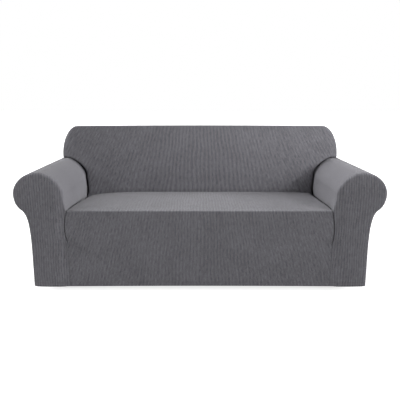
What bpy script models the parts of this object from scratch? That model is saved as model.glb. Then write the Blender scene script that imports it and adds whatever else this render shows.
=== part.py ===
"""A one-piece stretch slipcover for a three-seat sofa with rolled arms, as it hangs on the sofa.

The cover is sewn from seven cut panels of thin knit: a seat panel with its front skirt, an inside back that
wraps over the top and sides of the backrest, an outside back, and on each arm a panel that runs over the roll
and a scroll-shaped front. Every panel is one closed sheet. The sofa itself is left out, so the cover is hollow
and open underneath.

Metres, +Z up, +X across the seats, +Y to the back. Heights and depths below are counted from the floor that
the sofa stands on and from the face of its arms. The empty "sofa_slipcover" carries the panels, so that the
origin lies under the cloth on top of the backrest, where the sofa holds the cover up.
"""

import math
from collections import namedtuple

import bmesh
import bpy
from mathutils import Vector
from mathutils.geometry import interpolate_bezier, intersect_point_line

# Cloth
CLOTH = 0.002  # thickness of the doubled knit
SEAM_GAP = 0.0003  # between two panels that are sewn together

# The arm and its roll
HEM_Z = 0.040
ROLL_X = 0.868  # middle of the roll, out from the middle of the sofa
ROLL_Z = 0.565
ROLL_INNER = 0.129  # half width of the roll towards the seat
ROLL_OUTER = 0.1430
ROLL_RISE = 0.1195
ROLL_SHOULDER = 1.67  # superellipse power of the roll's drooping inner shoulder
ROLL_UNDERCUT = 50  # the cloth leaves the roll this many degrees below its middle
ROLL_UNDER_FULLNESS = 2.3  # superellipse power of the roll's lower outer side
SHOULDER_TURN = 135  # where the roll's inner side turns into its top, in degrees
INNER_WALL_X = 0.7325
INNER_WALL_TOP_Z = 0.490
WALL_FLARE = 0.2  # below the seat the inner wall leans out by this slope
OUTER_WALL_X = 0.9290
OUTER_WALL_TOP_Z = 0.240
ARM_TUCK_Y = 0.705  # the inside of the arm ends here, deep in the tuck beside the backrest
ARM_PINCH = 0.018  # the arm's end rounds off by this much before that tuck
PINCH_FROM_Y = 0.540
PINCH_TO_Y = 0.610
REAR_Y = 0.860

# The arm's front
FRONT_CROWN = 0.006
FRONT_CROWN_REACH = 0.090
FRONT_FLAT_BY_SKIRT = 0.050
RIM_SETBACK = 0.003
RIM_ROUNDING = 0.015

# Seat and front skirt
HEM_LIFT = 0.003  # the hem of the skirt rises this much towards its middle
SEAT_FRONT_Z = 0.476
SEAT_EDGE_R = 0.006
SEAT_REAR_Y = 0.615
SEAT_LIP_R = 0.011
SEAT_TUCK = 0.030  # depth of the tuck round the seat
SKIRT_BULGE = 0.010
SKIRT_BULGE_SPAN = 0.540

# Tuck between the skirt and the arm's front, which ends in a plain seam further down
TUCK_TOP_Z = 0.475
TUCK_CLOSES_Z = 0.430  # the arm's front rounds less and less from here up to the seat
TUCK_FOOT_Z = 0.285
TUCK_FADE = 0.060
TUCK_DEPTH = 0.025
TUCK_R = 0.006
SEAM_DEPTH = 0.005
SEAM_R = 0.003

# Backrest
BACK_HALF = 0.917
BACK_TOP_Z = 0.890
BACK_CROWN = 0.0045
BACK_CORNER_X = 0.112  # half axes of the rounded top corner
BACK_CORNER_Z = 0.1815
BACK_EDGE_R = BACK_HALF - ROLL_X
BACK_TOP_EDGE_R = 0.010
BACK_TOP_FALL = 0.018  # the top slopes down by this much towards the rear
BACK_END_X = 0.500  # the ends of the backrest start to round off here
BACK_END_DEPTH = 0.060
BACK_FOOT_Z = 0.400
BACK_FOOT_Y = SEAT_REAR_Y + SEAM_GAP
BACK_LEAN_Y = 0.665
BACK_BULGE = 0.015
BACK_LIP_Z = 0.478
TUCK_LIP_WALL = 0.036  # how widely the inside back rounds into the tuck beside the arm's wall
TUCK_LIP_CREST = 0.010  # and on top of the roll
SIDE_CLEAR = 0.0012  # the side of the backrest stands this far above the roll
SIDE_OVERLAP = 0.004  # and the arm's cloth runs this far under it
REAR_CROWN = 0.010
REAR_CROWN_REACH = 0.250

# The origin, under the cloth on top of the backrest
MOUNT_Y = 0.750
MOUNT_Z = 0.885

SeatRow = namedtuple("SeatRow", "back beside_arm middle")
SEAT_ROWS = (
    SeatRow(0.000, 0.4755, 0.476),
    SeatRow(0.100, 0.4755, 0.477),
    SeatRow(0.270, 0.4640, 0.476),
    SeatRow(0.420, 0.4530, 0.471),
    SeatRow(0.530, 0.4410, 0.466),
    SeatRow(0.615, 0.4320, 0.461),
)

# The seam between the skirt and the arm's front, from the hem up to the seat
SkirtSeam = namedtuple("SkirtSeam", "up out")
SKIRT_SEAM = (
    SkirtSeam(HEM_Z, 0.7265),
    SkirtSeam(0.200, 0.7270),
    SkirtSeam(0.294, 0.7290),
    SkirtSeam(0.320, 0.7345),
    SkirtSeam(0.365, 0.7390),
    SkirtSeam(0.402, 0.7377),
    SkirtSeam(0.435, 0.7350),
    SkirtSeam(TUCK_TOP_Z, 0.7310),
)

SKIRT_ROWS_Z = (0.285, 0.315, 0.345, 0.375, 0.405, 0.440)
SEAT_ROWS_Y = (0.05, 0.10, 0.18, 0.27, 0.36, 0.44, 0.51, 0.565)
ARM_COLUMNS_Y = (0.03, 0.09, 0.18, 0.28, 0.38, 0.46, 0.53, 0.56, 0.585, 0.61, 0.655, ARM_TUCK_Y)
ARM_REAR_COLUMNS_Y = (0.730, 0.785, REAR_Y)
COLUMNS = 16  # cells across the seat, the inside back and the outside back
EDGE_STEPS = (30, 60, 90)

LEFT, RIGHT = -1, 1


def mix(a, b, t):
    return a + (b - a) * t


def ease(t):
    """0 below t = 0, 1 above t = 1, and smooth between them."""
    t = min(max(t, 0.0), 1.0)
    return t * t * (3 - 2 * t)


def spread(start, end, steps):
    return [mix(start, end, k / steps) for k in range(steps + 1)]


def read_table(table, key, column, at):
    """Smooth (Catmull-Rom) value of a table's column where its key column equals at."""
    keys = [getattr(row, key) for row in table]
    values = [getattr(row, column) for row in table]
    at = min(max(at, keys[0]), keys[-1])
    i = max(k for k in range(len(keys) - 1) if keys[k] <= at)
    span = keys[i + 1] - keys[i]

    def slope(k):
        low, high = max(k - 1, 0), min(k + 1, len(keys) - 1)
        return (values[high] - values[low]) / (keys[high] - keys[low]) * span

    t = (at - keys[i]) / span
    return (
        (2 * t**3 - 3 * t**2 + 1) * values[i]
        + (t**3 - 2 * t**2 + t) * slope(i)
        + (3 * t**2 - 2 * t**3) * values[i + 1]
        + (t**3 - t**2) * slope(i + 1)
    )


# Outlines of the right-hand side, as Vectors (out from the middle, depth, height)


def inner_wall(z):
    """The arm's inner wall, as it stands at height z up to the middle of the roll."""
    climb = max(z - INNER_WALL_TOP_Z, 0.0) / (ROLL_Z - INNER_WALL_TOP_Z)
    lean = WALL_FLARE * max(TUCK_TOP_Z - z, 0.0)
    return Vector((mix(INNER_WALL_X, ROLL_X - ROLL_INNER, climb) + lean, 0, z))


def roll_point(degrees):
    """A point on the roll: 180 faces the seat, 90 is the crest, 0 faces out."""
    c, s = math.cos(math.radians(degrees)), math.sin(math.radians(degrees))
    if degrees > 90:
        power = 2 / ROLL_SHOULDER
        return Vector((ROLL_X - ROLL_INNER * abs(c) ** power, 0, ROLL_Z + ROLL_RISE * abs(s) ** power))
    if degrees < 0:
        power = 2 / ROLL_UNDER_FULLNESS
        return Vector((ROLL_X + ROLL_OUTER * c**power, 0, ROLL_Z - ROLL_RISE * abs(s) ** power))
    return Vector((ROLL_X + ROLL_OUTER * c, 0, ROLL_Z + ROLL_RISE * s))


def roll_angle(x):
    """Where the outer half of the roll reaches x, in degrees."""
    return math.degrees(math.acos((x - ROLL_X) / ROLL_OUTER))


def roll_height(x):
    return roll_point(roll_angle(x)).z


def flare(steps):
    """From under the roll, in a hollow sweep, down to the straight outer wall."""
    start = roll_point(-ROLL_UNDERCUT)
    end = Vector((OUTER_WALL_X, 0, OUTER_WALL_TOP_Z))
    pull_in = Vector((OUTER_WALL_X + 0.0065, 0, 0.440))
    pull_down = Vector((OUTER_WALL_X + 0.001, 0, 0.360))
    return [Vector(p) for p in interpolate_bezier(start, pull_in, pull_down, end, steps + 1)]


def arm_inside():
    """From the tuck beside the seat up the inner wall to the roll's crest."""
    wall = [inner_wall(z) for z in (BACK_FOOT_Z, 0.432, TUCK_TOP_Z, 0.500, 0.535)]
    side = [roll_point(a) for a in spread(180, SHOULDER_TURN, 3)]
    top = [roll_point(a) for a in spread(SHOULDER_TURN, 90, 4)[1:]]
    return wall + side + top


def arm_outside(top_degrees):
    """From the roll, top_degrees up, down its outer side to the hem."""
    roll = [roll_point(a) for a in spread(top_degrees, -ROLL_UNDERCUT, 10)]
    wall = [Vector((OUTER_WALL_X, 0, z)) for z in spread(OUTER_WALL_TOP_Z, HEM_Z, 2)[1:]]
    return roll + flare(5)[1:] + wall


SHOULDER_INDEX = 8  # of the point of arm_inside() at SHOULDER_TURN
TUCK_TOP_INDEX = 2  # of its point at TUCK_TOP_Z
CORNER_INDEX = 2  # of the point of back_outline() where its side turns into its top


def outline_normals(points):
    """Unit normals of an outline, to the left of its direction in a front view."""
    normals = []
    for k in range(len(points)):
        along = points[min(k + 1, len(points) - 1)] - points[max(k - 1, 0)]
        normals.append(Vector((-along.z, 0, along.x)).normalized())
    return normals


def pinched_arm_inside(y):
    """The inside of the arm at depth y, where it rounds off towards the backrest."""
    points = arm_inside()
    pull = ARM_PINCH * ease((y - PINCH_FROM_Y) / (PINCH_TO_Y - PINCH_FROM_Y))
    result = []
    for point, normal in zip(points, outline_normals(points)):
        depth = Vector((0, y, 0))
        result.append(point + depth - normal * pull * ease(1.4 * (ROLL_X - point.x) / ROLL_INNER))
    return result


def back_corner(degrees):
    """The backrest's rounded top corner, 0 at its side and 90 at its top, with the outward normal."""
    angle = math.radians(degrees)
    c, s = math.cos(angle), math.sin(angle)
    point = Vector((BACK_HALF - BACK_CORNER_X * (1 - c), 0, BACK_TOP_Z - BACK_CORNER_Z * (1 - s)))
    return point, Vector((c * BACK_CORNER_Z, 0, s * BACK_CORNER_X)).normalized()


def back_top(x):
    """The backrest's top edge, crowned towards the middle, with the outward normal."""
    flat = BACK_HALF - BACK_CORNER_X
    return Vector((x, 0, BACK_TOP_Z + BACK_CROWN * (1 - (x / flat) ** 2))), Vector((0, 0, 1))


def mirrored(points):
    return [Vector((-p.x, p.y, p.z)) for p in points]


def level(end, steps):
    """A level row of points from the mirror image of end to end."""
    return [Vector((mix(-end.x, end.x, k / steps), end.y, end.z)) for k in range(steps + 1)]


def resample(points, steps):
    """Points at equal distances along a polyline."""
    lengths = [0.0]
    for a, b in zip(points, points[1:]):
        lengths.append(lengths[-1] + (b - a).length)
    result = []
    for target in spread(0, lengths[-1], steps):
        k = max(k for k in range(len(points) - 1) if lengths[k] <= target + 1e-9)
        share = (target - lengths[k]) / (lengths[k + 1] - lengths[k])
        result.append(points[k].lerp(points[k + 1], min(share, 1)))
    return result


def distance_to(point, outline):
    """How far a point lies from an outline, both taken in a front view."""
    flat = Vector((point.x, 0, point.z))
    nearest = math.inf
    for a, b in zip(outline, outline[1:]):
        foot, share = intersect_point_line(flat, a, b)
        foot = a.lerp(b, min(max(share, 0), 1))
        nearest = min(nearest, (flat - foot).length)
    return nearest


# Surfaces


def seat_height(x, y):
    beside = read_table(SEAT_ROWS, "back", "beside_arm", y)
    middle = read_table(SEAT_ROWS, "back", "middle", y)
    return mix(middle, beside, min(abs(x) / INNER_WALL_X, 1) ** 4)


def end_share(x):
    """How far x is round the end of the backrest, from 0 on its flat front to 1 at its side."""
    return min(max(abs(x) - BACK_END_X, 0) / (BACK_HALF - BACK_END_X), 1)


def end_depth(x):
    """How far the front of the backrest lies back at x, because its end is rounded."""
    return BACK_END_DEPTH * (1 - math.sqrt(1 - end_share(x) ** 2))


def edge_reach(normal):
    """How far the edge of the backrest rounds over: widely at its sides and tightly along its top."""
    return mix(BACK_EDGE_R, BACK_TOP_EDGE_R, ease(normal.z))


def back_face(point):
    """The point moved to the depth of the inside back, which leans back and swells in its middle."""
    t = min(max((point.z - BACK_LIP_Z) / (BACK_TOP_Z - BACK_LIP_Z), 0), 1)
    swell = math.sin(math.pi * t) * (1 - (point.x / BACK_HALF) ** 2)
    y = mix(BACK_FOOT_Y, BACK_LEAN_Y, t) - BACK_BULGE * swell + end_depth(point.x)
    return Vector((point.x, y, point.z))


def skirt_seam(z):
    return read_table(SKIRT_SEAM, "up", "out", z)


def skirt_tuck(z):
    """How far a height is into the tuck beside the skirt: 0 in the plain seam, 1 where it is full."""
    return ease((z - TUCK_FOOT_Z) / TUCK_FADE)


def skirt_y(across, z):
    """Depth of the skirt's face, across being -1 to 1 from arm to arm."""
    swell = math.sin(math.pi * min((z - HEM_Z) / SKIRT_BULGE_SPAN, 1))
    return -SKIRT_BULGE * swell * (1 - across**4)


# Mesh tools


def coons(bottom, top, left, right):
    """Rows of points that fill four sides, which run left to right and bottom to top."""
    rows, columns = len(left) - 1, len(bottom) - 1
    grid = []
    for j in range(rows + 1):
        v = j / rows
        row = []
        for i in range(columns + 1):
            u = i / columns
            across = left[j].lerp(right[j], u)
            upward = bottom[i].lerp(top[i], v)
            corners = bottom[0].lerp(bottom[-1], u).lerp(top[0].lerp(top[-1], u), v)
            row.append(across + upward - corners)
        grid.append(row)
    return grid


def sheet_mesh(grid, keep=None):
    """A bmesh grid laid on rows of points. keep(i, j) says whether the cell right of and above i, j stays."""
    rows, columns = len(grid) - 1, len(grid[0]) - 1
    bm = bmesh.new()
    bmesh.ops.create_grid(bm, x_segments=columns, y_segments=rows, size=0.5)
    place = bm.verts.layers.int.new("place")
    dropped = []
    for face in bm.faces:
        centre = face.calc_center_median()
        cell = int((centre.x + 0.5) * columns), int((centre.y + 0.5) * rows)
        if keep and not keep(*cell):
            dropped.append(face)
    for vert in bm.verts:
        i = round((vert.co.x + 0.5) * columns)
        j = round((vert.co.y + 0.5) * rows)
        vert[place] = j * (columns + 1) + i
        vert.co = grid[j][i]
    bmesh.ops.delete(bm, geom=dropped, context="FACES")
    bmesh.ops.delete(bm, geom=[v for v in bm.verts if not v.link_faces], context="VERTS")
    return bm


def fold_edge(bm, chain, rings):
    """Extrudes the border that runs through the grid places of chain, once for each ring of points."""
    place = bm.verts.layers.int["place"]
    order = {number: k for k, number in enumerate(chain)}
    start = {v[place]: v for v in bm.verts if v[place] in order}
    edges = [bm.edges.get((start[a], start[b])) for a, b in zip(chain, chain[1:])]
    folded = []
    for ring in rings:
        made = bmesh.ops.extrude_edge_only(bm, edges=edges)["geom"]
        fresh = [g for g in made if isinstance(g, bmesh.types.BMVert)]
        for vert in fresh:
            vert.co = ring[order[vert[place]]]
        folded += fresh
        edges = [g for g in made if isinstance(g, bmesh.types.BMEdge) and all(v in fresh for v in g.verts)]
    for vert in folded:
        vert[place] = -1


def lip(point, out, inward, radius, foot):
    """Where a border point goes as the cloth rolls over a lip of this radius and down to foot."""
    half = math.sin(math.radians(45))
    return (
        point + out * radius * half + inward * radius * (1 - half),
        point + out * radius + inward * radius,
        foot,
    )


def grey_knit():
    material = bpy.data.materials.new("grey_knit")
    material.use_nodes = True
    shader = material.node_tree.nodes["Principled BSDF"]
    shader.inputs["Base Color"].default_value = (0.155, 0.153, 0.168, 1)
    shader.inputs["Roughness"].default_value = 0.92
    shader.inputs["Metallic"].default_value = 0.0
    material.diffuse_color = (0.155, 0.153, 0.168, 1)
    return material


def add_panel(name, bm, core, carrier):
    """Turns a surface into a panel of cloth whose thickness lies towards core, a point inside the sofa."""
    bmesh.ops.recalc_face_normals(bm, faces=bm.faces)
    facing = sum(f.normal.dot(f.calc_center_median() - core) * f.calc_area() for f in bm.faces)
    if facing < 0:
        bmesh.ops.reverse_faces(bm, faces=bm.faces)
    mesh = bpy.data.meshes.new(name)
    bm.to_mesh(mesh)
    bm.free()
    mesh.shade_smooth()
    mesh.materials.append(grey_knit())
    panel = bpy.data.objects.new(name, mesh)
    carrier.users_collection[0].objects.link(panel)
    panel.parent = carrier
    cloth = panel.modifiers.new("cloth", "SOLIDIFY")
    cloth.thickness = CLOTH
    cloth.offset = -1
    cloth.use_even_offset = True
    cloth.use_quality_normals = True
    return panel


# Panels


def seat_panel(carrier):
    """Skirt and seat in one length, its sides and rear rolled down into the tucks."""
    Row = namedtuple("Row", "half_width radius y z inward foot")
    edge_z = SEAT_FRONT_Z - SEAT_EDGE_R
    foot_r = 0.010
    foot_centre = Vector((0, TUCK_DEPTH + foot_r, SEAT_FRONT_Z - SEAT_TUCK - foot_r))
    rows = []

    def add_skirt_row(z, hem_share=0.0):
        radius = mix(SEAM_R, TUCK_R, skirt_tuck(z))
        depth = mix(SEAM_DEPTH, TUCK_DEPTH, skirt_tuck(z))
        foot_z = z - max(z - SKIRT_ROWS_Z[-2], 0) / 2
        rows.append(
            Row(
                skirt_seam(z) - SEAM_GAP / 2 - radius,
                radius,
                lambda across: skirt_y(across, z),
                lambda across: z + HEM_LIFT * (1 - across**2) * hem_share,
                Vector((0, 1, 0)),
                Vector((skirt_seam(foot_z) - SEAM_GAP / 2, depth, foot_z)),
            )
        )

    def add_edge_row(degrees):
        c, s = math.cos(math.radians(degrees)), math.sin(math.radians(degrees))
        foot = foot_centre + Vector((0, -foot_r * c, foot_r * s))
        foot.x = skirt_seam(edge_z) - SEAM_GAP / 2
        rows.append(
            Row(
                skirt_seam(edge_z) - SEAM_GAP / 2 - TUCK_R,
                TUCK_R,
                lambda across: skirt_y(across, edge_z) + SEAT_EDGE_R * (1 - c),
                lambda across: edge_z + SEAT_EDGE_R * s,
                Vector((0, c, -s)),
                foot,
            )
        )

    def add_seat_row(y):
        half_width = INNER_WALL_X - SEAM_GAP - SEAT_LIP_R
        rows.append(
            Row(
                half_width,
                SEAT_LIP_R,
                lambda across: y,
                lambda across: seat_height(across * half_width, y),
                Vector((0, 0, -1)),
                Vector((INNER_WALL_X - SEAM_GAP, y, seat_height(half_width, y) - SEAT_TUCK)),
            )
        )

    for k, z in enumerate(spread(HEM_Z, SKIRT_ROWS_Z[0], 4)[:-1]):
        add_skirt_row(z, 1 - k / 4)
    for z in SKIRT_ROWS_Z:
        add_skirt_row(z)
    for degrees in (0, *EDGE_STEPS):
        add_edge_row(degrees)
    for y in (*SEAT_ROWS_Y, SEAT_REAR_Y - SEAT_LIP_R):
        add_seat_row(y)

    grid = []
    for row in rows:
        acrosses = spread(-1, 1, COLUMNS)
        grid.append([Vector((a * row.half_width, row.y(a), row.z(a))) for a in acrosses])
    bm = sheet_mesh(grid)

    for side, column in ((LEFT, 0), (RIGHT, COLUMNS)):
        chain = [j * (COLUMNS + 1) + column for j in range(len(rows))]
        lips = []
        for j, row in enumerate(rows):
            point = grid[j][column]
            foot = Vector((side * row.foot.x, row.foot.y, row.foot.z))
            lips.append(lip(point, Vector((side, 0, 0)), row.inward, row.radius, foot))
        fold_edge(bm, chain, list(zip(*lips)))

    chain = [(len(rows) - 1) * (COLUMNS + 1) + i for i in range(COLUMNS + 1)]
    lips = []
    for point in grid[-1]:
        foot = Vector((point.x, SEAT_REAR_Y, point.z - SEAT_TUCK))
        lips.append(lip(point, Vector((0, 1, 0)), Vector((0, 0, -1)), SEAT_LIP_R, foot))
    fold_edge(bm, chain, list(zip(*lips)))
    return add_panel("seat_panel", bm, Vector((0, 0.4, 0.1)), carrier)


def arm_panel(side, name, carrier):
    """Inner wall, roll and outer side of an arm. Past the tuck only the outer half goes on to the rear."""
    crest = len(arm_inside()) - 1
    front_y = RIM_SETBACK + CLOTH + SEAM_GAP
    columns = []
    for y in (front_y, *ARM_COLUMNS_Y, *ARM_REAR_COLUMNS_Y):
        beside_back = y > ARM_TUCK_Y
        top = roll_angle(BACK_HALF - SIDE_OVERLAP) if beside_back else 90
        outside = [p + Vector((0, y, 0)) for p in arm_outside(top)]
        columns.append(pinched_arm_inside(y)[:-1] + outside)
    if side == LEFT:
        columns = [mirrored(column) for column in columns]
    last_inner = len(ARM_COLUMNS_Y)

    def keep(section, depth):
        behind_tuck = depth >= last_inner and section < crest
        inside_skirt_tuck = depth == 0 and section < TUCK_TOP_INDEX
        return not behind_tuck and not inside_skirt_tuck

    bm = sheet_mesh(columns, keep)
    return add_panel(name, bm, Vector((side * ROLL_X, 0.4, 0.3)), carrier)


def arm_front(side, name, carrier):
    """Scroll-shaped front of an arm, its inner side rolled into the tuck beside the skirt."""
    upper_rows, top_columns = 8, 8
    haunch = 40  # where the outline's outer side turns into its top, in degrees

    def tuck_share(z):
        return skirt_tuck(z) * (1 - ease((z - TUCK_CLOSES_Z) / (TUCK_TOP_Z - TUCK_CLOSES_Z)))

    def lip_radius(z):
        return mix(SEAM_R, TUCK_R, tuck_share(z))

    seam_heights = (
        *spread(HEM_Z, SKIRT_ROWS_Z[0], 4),
        *SKIRT_ROWS_Z[1:],
        SEAT_FRONT_Z - SEAT_EDGE_R,
    )
    tuck_rows = len(seam_heights) - 1
    inner = []
    for z in seam_heights:
        inner.append(Vector((skirt_seam(z) + SEAM_GAP / 2 + lip_radius(z), 0, z)))
    wall = [inner_wall(z) for z in (TUCK_TOP_Z, 0.500, 0.535)]
    wall += [roll_point(a) for a in spread(180, SHOULDER_TURN, 5)]
    inner += resample([inner[-1], *wall[1:]], upper_rows)[1:]
    roof = [roll_point(a) for a in spread(SHOULDER_TURN, haunch, 12)]
    outer = [Vector((OUTER_WALL_X, 0, z)) for z in spread(HEM_Z, OUTER_WALL_TOP_Z, 2)]
    outer += flare(8)[::-1][1:] + [roll_point(a) for a in spread(-ROLL_UNDERCUT, haunch, 8)[1:]]
    edge = wall + roof + outer[::-1]
    outer = resample(outer, tuck_rows + upper_rows)
    bottom = [inner[0].lerp(outer[0], k / top_columns) for k in range(top_columns + 1)]

    grid = coons(bottom, resample(roof, top_columns), inner, outer)
    for row in grid:
        for point in row:
            reach = min(distance_to(point, edge) / FRONT_CROWN_REACH, 1)
            off_skirt = ease((point.x - skirt_seam(point.z) - TUCK_R) / FRONT_FLAT_BY_SKIRT)
            crown = FRONT_CROWN * (1 - (1 - reach) ** 2) * off_skirt
            rim = RIM_SETBACK * (1 - ease(reach * FRONT_CROWN_REACH / RIM_ROUNDING))
            point.y = rim - crown
    if side == LEFT:
        grid = [mirrored(row) for row in grid]
    bm = sheet_mesh(grid)

    chain = [j * (top_columns + 1) for j in range(tuck_rows + 1)]
    lips = []
    for j, z in enumerate(seam_heights):
        radius = lip_radius(z)
        point = grid[j][0]
        depth = mix(SEAM_DEPTH, TUCK_DEPTH, tuck_share(z))
        foot = Vector((point.x - side * radius, depth, z))
        lips.append(lip(point, Vector((-side, 0, 0)), Vector((0, 1, 0)), radius, foot))
    fold_edge(bm, chain, list(zip(*lips)))
    return add_panel(name, bm, Vector((side * ROLL_X, 0.4, 0.3)), carrier)


def back_outline():
    """Side and top of the backrest, from its right side over the top to its left, with outward normals."""
    half = [(Vector((BACK_HALF, 0, BACK_TOP_Z - BACK_CORNER_Z)), Vector((1, 0, 0)))]
    half += [back_corner(a) for a in (22.5, 45, 67.5)]
    flat = BACK_HALF - BACK_CORNER_X
    tops = [back_top(x) for x in spread(flat, -flat, COLUMNS)]
    return half + tops + [mirrored(pair) for pair in reversed(half)]


def back_tuck():
    """Where the inside back starts to round into the tuck along the right arm, with normals and radii."""
    arm = pinched_arm_inside(ARM_TUCK_Y)
    normals = outline_normals(arm)
    normals[-1] = Vector((0, 0, 1))
    radii = [mix(TUCK_LIP_WALL, TUCK_LIP_CREST, ease(1.2 * max(n.z, 0))) for n in normals]
    border = [p + n * (SEAM_GAP + r) for p, n, r in zip(arm, normals, radii)]
    return border, normals, radii


def inside_back(carrier):
    """Front, top and sides of the backrest. The front rounds into the tuck along each arm."""
    border, normals, radii = back_tuck()
    wall, crest = border[: SHOULDER_INDEX + 1], border[SHOULDER_INDEX:]
    outline = back_outline()
    inset = [p - n * edge_reach(n) for p, n in outline]
    side = [crest[-1], *inset[: CORNER_INDEX + 1]]
    top = inset[CORNER_INDEX:-CORNER_INDEX][::-1]

    # The lower block lies between the arms, and the upper one reaches over their rolls.
    columns = len(top) - 1
    outer = len(crest) - 1
    middle = level(wall[-1], columns - 2 * outer)
    upper = coons(mirrored(crest[::-1])[:-1] + middle + crest[1:], top, mirrored(side), side)
    lower = coons(level(wall[0], columns - 2 * outer), middle, mirrored(wall), wall)
    join = len(lower) - 1
    unused = [wall[0]] * outer  # places beside the lower block that hold no cloth
    grid = [unused + row + unused for row in lower[:-1]] + upper
    grid = [[back_face(p) for p in row] for row in grid]
    bm = sheet_mesh(grid, lambda i, j: j >= join or outer <= i < columns - outer)

    stride = columns + 1
    for hand, inner in ((LEFT, outer), (RIGHT, columns - outer)):
        chain = [j * stride + inner for j in range(join + 1)]
        chain += [join * stride + inner + hand * k for k in range(1, outer + 1)]
        lips = []
        for place, normal, radius in zip(chain, normals, radii):
            start = grid[place // stride][place % stride]
            out = Vector((-hand * normal.x, 0, -normal.z))
            foot = start + out * radius
            foot.y = ARM_TUCK_Y
            lips.append(lip(start, out, Vector((0, 1, 0)), radius, foot))
        fold_edge(bm, chain, list(zip(*lips)))

    # The wrap runs from the foot of the right side over the top to the foot of the left.
    chain = [j * stride + columns for j in range(join, len(grid))]
    chain += [(len(grid) - 1) * stride + i for i in range(columns - 1, 0, -1)]
    chain += [j * stride for j in range(len(grid) - 1, join - 1, -1)]
    outs = [Vector((1, 0, 0))] + [n for p, n in outline] + [Vector((-1, 0, 0))]
    wraps = []
    for place, out in zip(chain, outs):
        start = grid[place // stride][place % stride]
        turned = math.asin(end_share(start.x)) * abs(out.x)
        reach = edge_reach(out)
        depth = mix(BACK_END_DEPTH - end_depth(start.x), reach, ease(out.z))
        wrap = []
        for angle in spread(turned, math.pi / 2, 3)[1:]:
            away = reach * (math.sin(angle) - math.sin(turned)) / (1 - math.sin(turned))
            back = depth * (1 - math.cos(angle) / math.cos(turned))
            wrap.append(start + out * away + Vector((0, back, 0)))
        end = wrap[-1]
        for y in ARM_REAR_COLUMNS_Y[1:]:
            fall = BACK_TOP_FALL * ease(out.z) * (y - end.y) / (REAR_Y - end.y)
            wrap.append(Vector((end.x, y, end.z - fall)))
        if place in (chain[0], chain[-1]):
            for point in wrap:
                point.z = roll_height(abs(point.x)) + SIDE_CLEAR
        wraps.append(wrap)
    fold_edge(bm, chain, list(zip(*wraps)))
    return add_panel("inside_back", bm, Vector((0, 0.8, 0.5)), carrier)


def outside_back(carrier):
    """Rear panel, to the outline of the backrest and of both arms, and down to the hem."""
    outline = [p - Vector((0, 0, BACK_TOP_FALL * ease(n.z))) for p, n in back_outline()]
    top_start = 2 * CORNER_INDEX
    side = arm_outside(roll_angle(BACK_HALF))[::-1] + outline[: top_start + 1]
    top = outline[top_start:-top_start][::-1]
    grid = coons(level(side[0], COLUMNS), top, mirrored(side), side)
    edge = side + top[::-1] + mirrored(side)[::-1]
    for row in grid:
        for point in row:
            reach = min(distance_to(point, edge) / REAR_CROWN_REACH, 1)
            point.y = REAR_Y + SEAM_GAP + CLOTH + REAR_CROWN * (1 - (1 - reach) ** 2)
    bm = sheet_mesh(grid)
    return add_panel("outside_back", bm, Vector((0, 0.4, 0.4)), carrier)


def main():
    for old in list(bpy.data.objects):
        bpy.data.objects.remove(old, do_unlink=True)
    collection = bpy.data.collections.new("sofa_slipcover_panels")
    bpy.context.scene.collection.children.link(collection)
    carrier = bpy.data.objects.new("sofa_slipcover", None)
    collection.objects.link(carrier)
    carrier.location = (0, -MOUNT_Y, -MOUNT_Z)
    seat_panel(carrier)
    for side, hand in ((LEFT, "left"), (RIGHT, "right")):
        arm_panel(side, f"arm_{hand}", carrier)
        arm_front(side, f"arm_front_{hand}", carrier)
    inside_back(carrier)
    outside_back(carrier)


main()
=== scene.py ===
"""A stretch slipcover for a three-seat sofa with rolled arms, shown as it hangs on the sofa.

The sections follow the cover as it is sewn together: seat and skirt, arms, arm fronts, inside back and
outside back. Heights are taken from the floor and depths from the front of the arms, in metres, and each
panel is moved to the cover's own origin, under the cloth on top of the backrest, when it is finished.
"""

import math
from collections import namedtuple

import bmesh
import bpy
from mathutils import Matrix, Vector
from mathutils.geometry import interpolate_bezier
from mathutils.kdtree import KDTree


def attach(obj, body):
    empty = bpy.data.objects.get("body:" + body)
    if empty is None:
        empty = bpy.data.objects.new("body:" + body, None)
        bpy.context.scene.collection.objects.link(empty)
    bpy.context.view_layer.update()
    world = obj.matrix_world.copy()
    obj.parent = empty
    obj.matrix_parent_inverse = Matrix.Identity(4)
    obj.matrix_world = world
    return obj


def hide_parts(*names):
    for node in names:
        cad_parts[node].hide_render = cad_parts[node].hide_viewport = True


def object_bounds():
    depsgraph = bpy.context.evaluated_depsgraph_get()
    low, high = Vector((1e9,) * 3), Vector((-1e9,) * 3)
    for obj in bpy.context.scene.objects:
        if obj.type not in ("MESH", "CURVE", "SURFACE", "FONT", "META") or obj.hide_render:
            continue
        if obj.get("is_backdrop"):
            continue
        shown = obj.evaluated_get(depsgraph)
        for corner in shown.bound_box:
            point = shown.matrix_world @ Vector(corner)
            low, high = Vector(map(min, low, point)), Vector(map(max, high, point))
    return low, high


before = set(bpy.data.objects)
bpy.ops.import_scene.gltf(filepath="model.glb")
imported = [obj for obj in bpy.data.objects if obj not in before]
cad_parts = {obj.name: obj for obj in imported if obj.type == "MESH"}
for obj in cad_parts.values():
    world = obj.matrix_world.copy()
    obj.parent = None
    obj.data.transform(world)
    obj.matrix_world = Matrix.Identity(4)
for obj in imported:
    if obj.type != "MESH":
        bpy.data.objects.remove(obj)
cad_low, cad_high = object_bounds()

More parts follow.
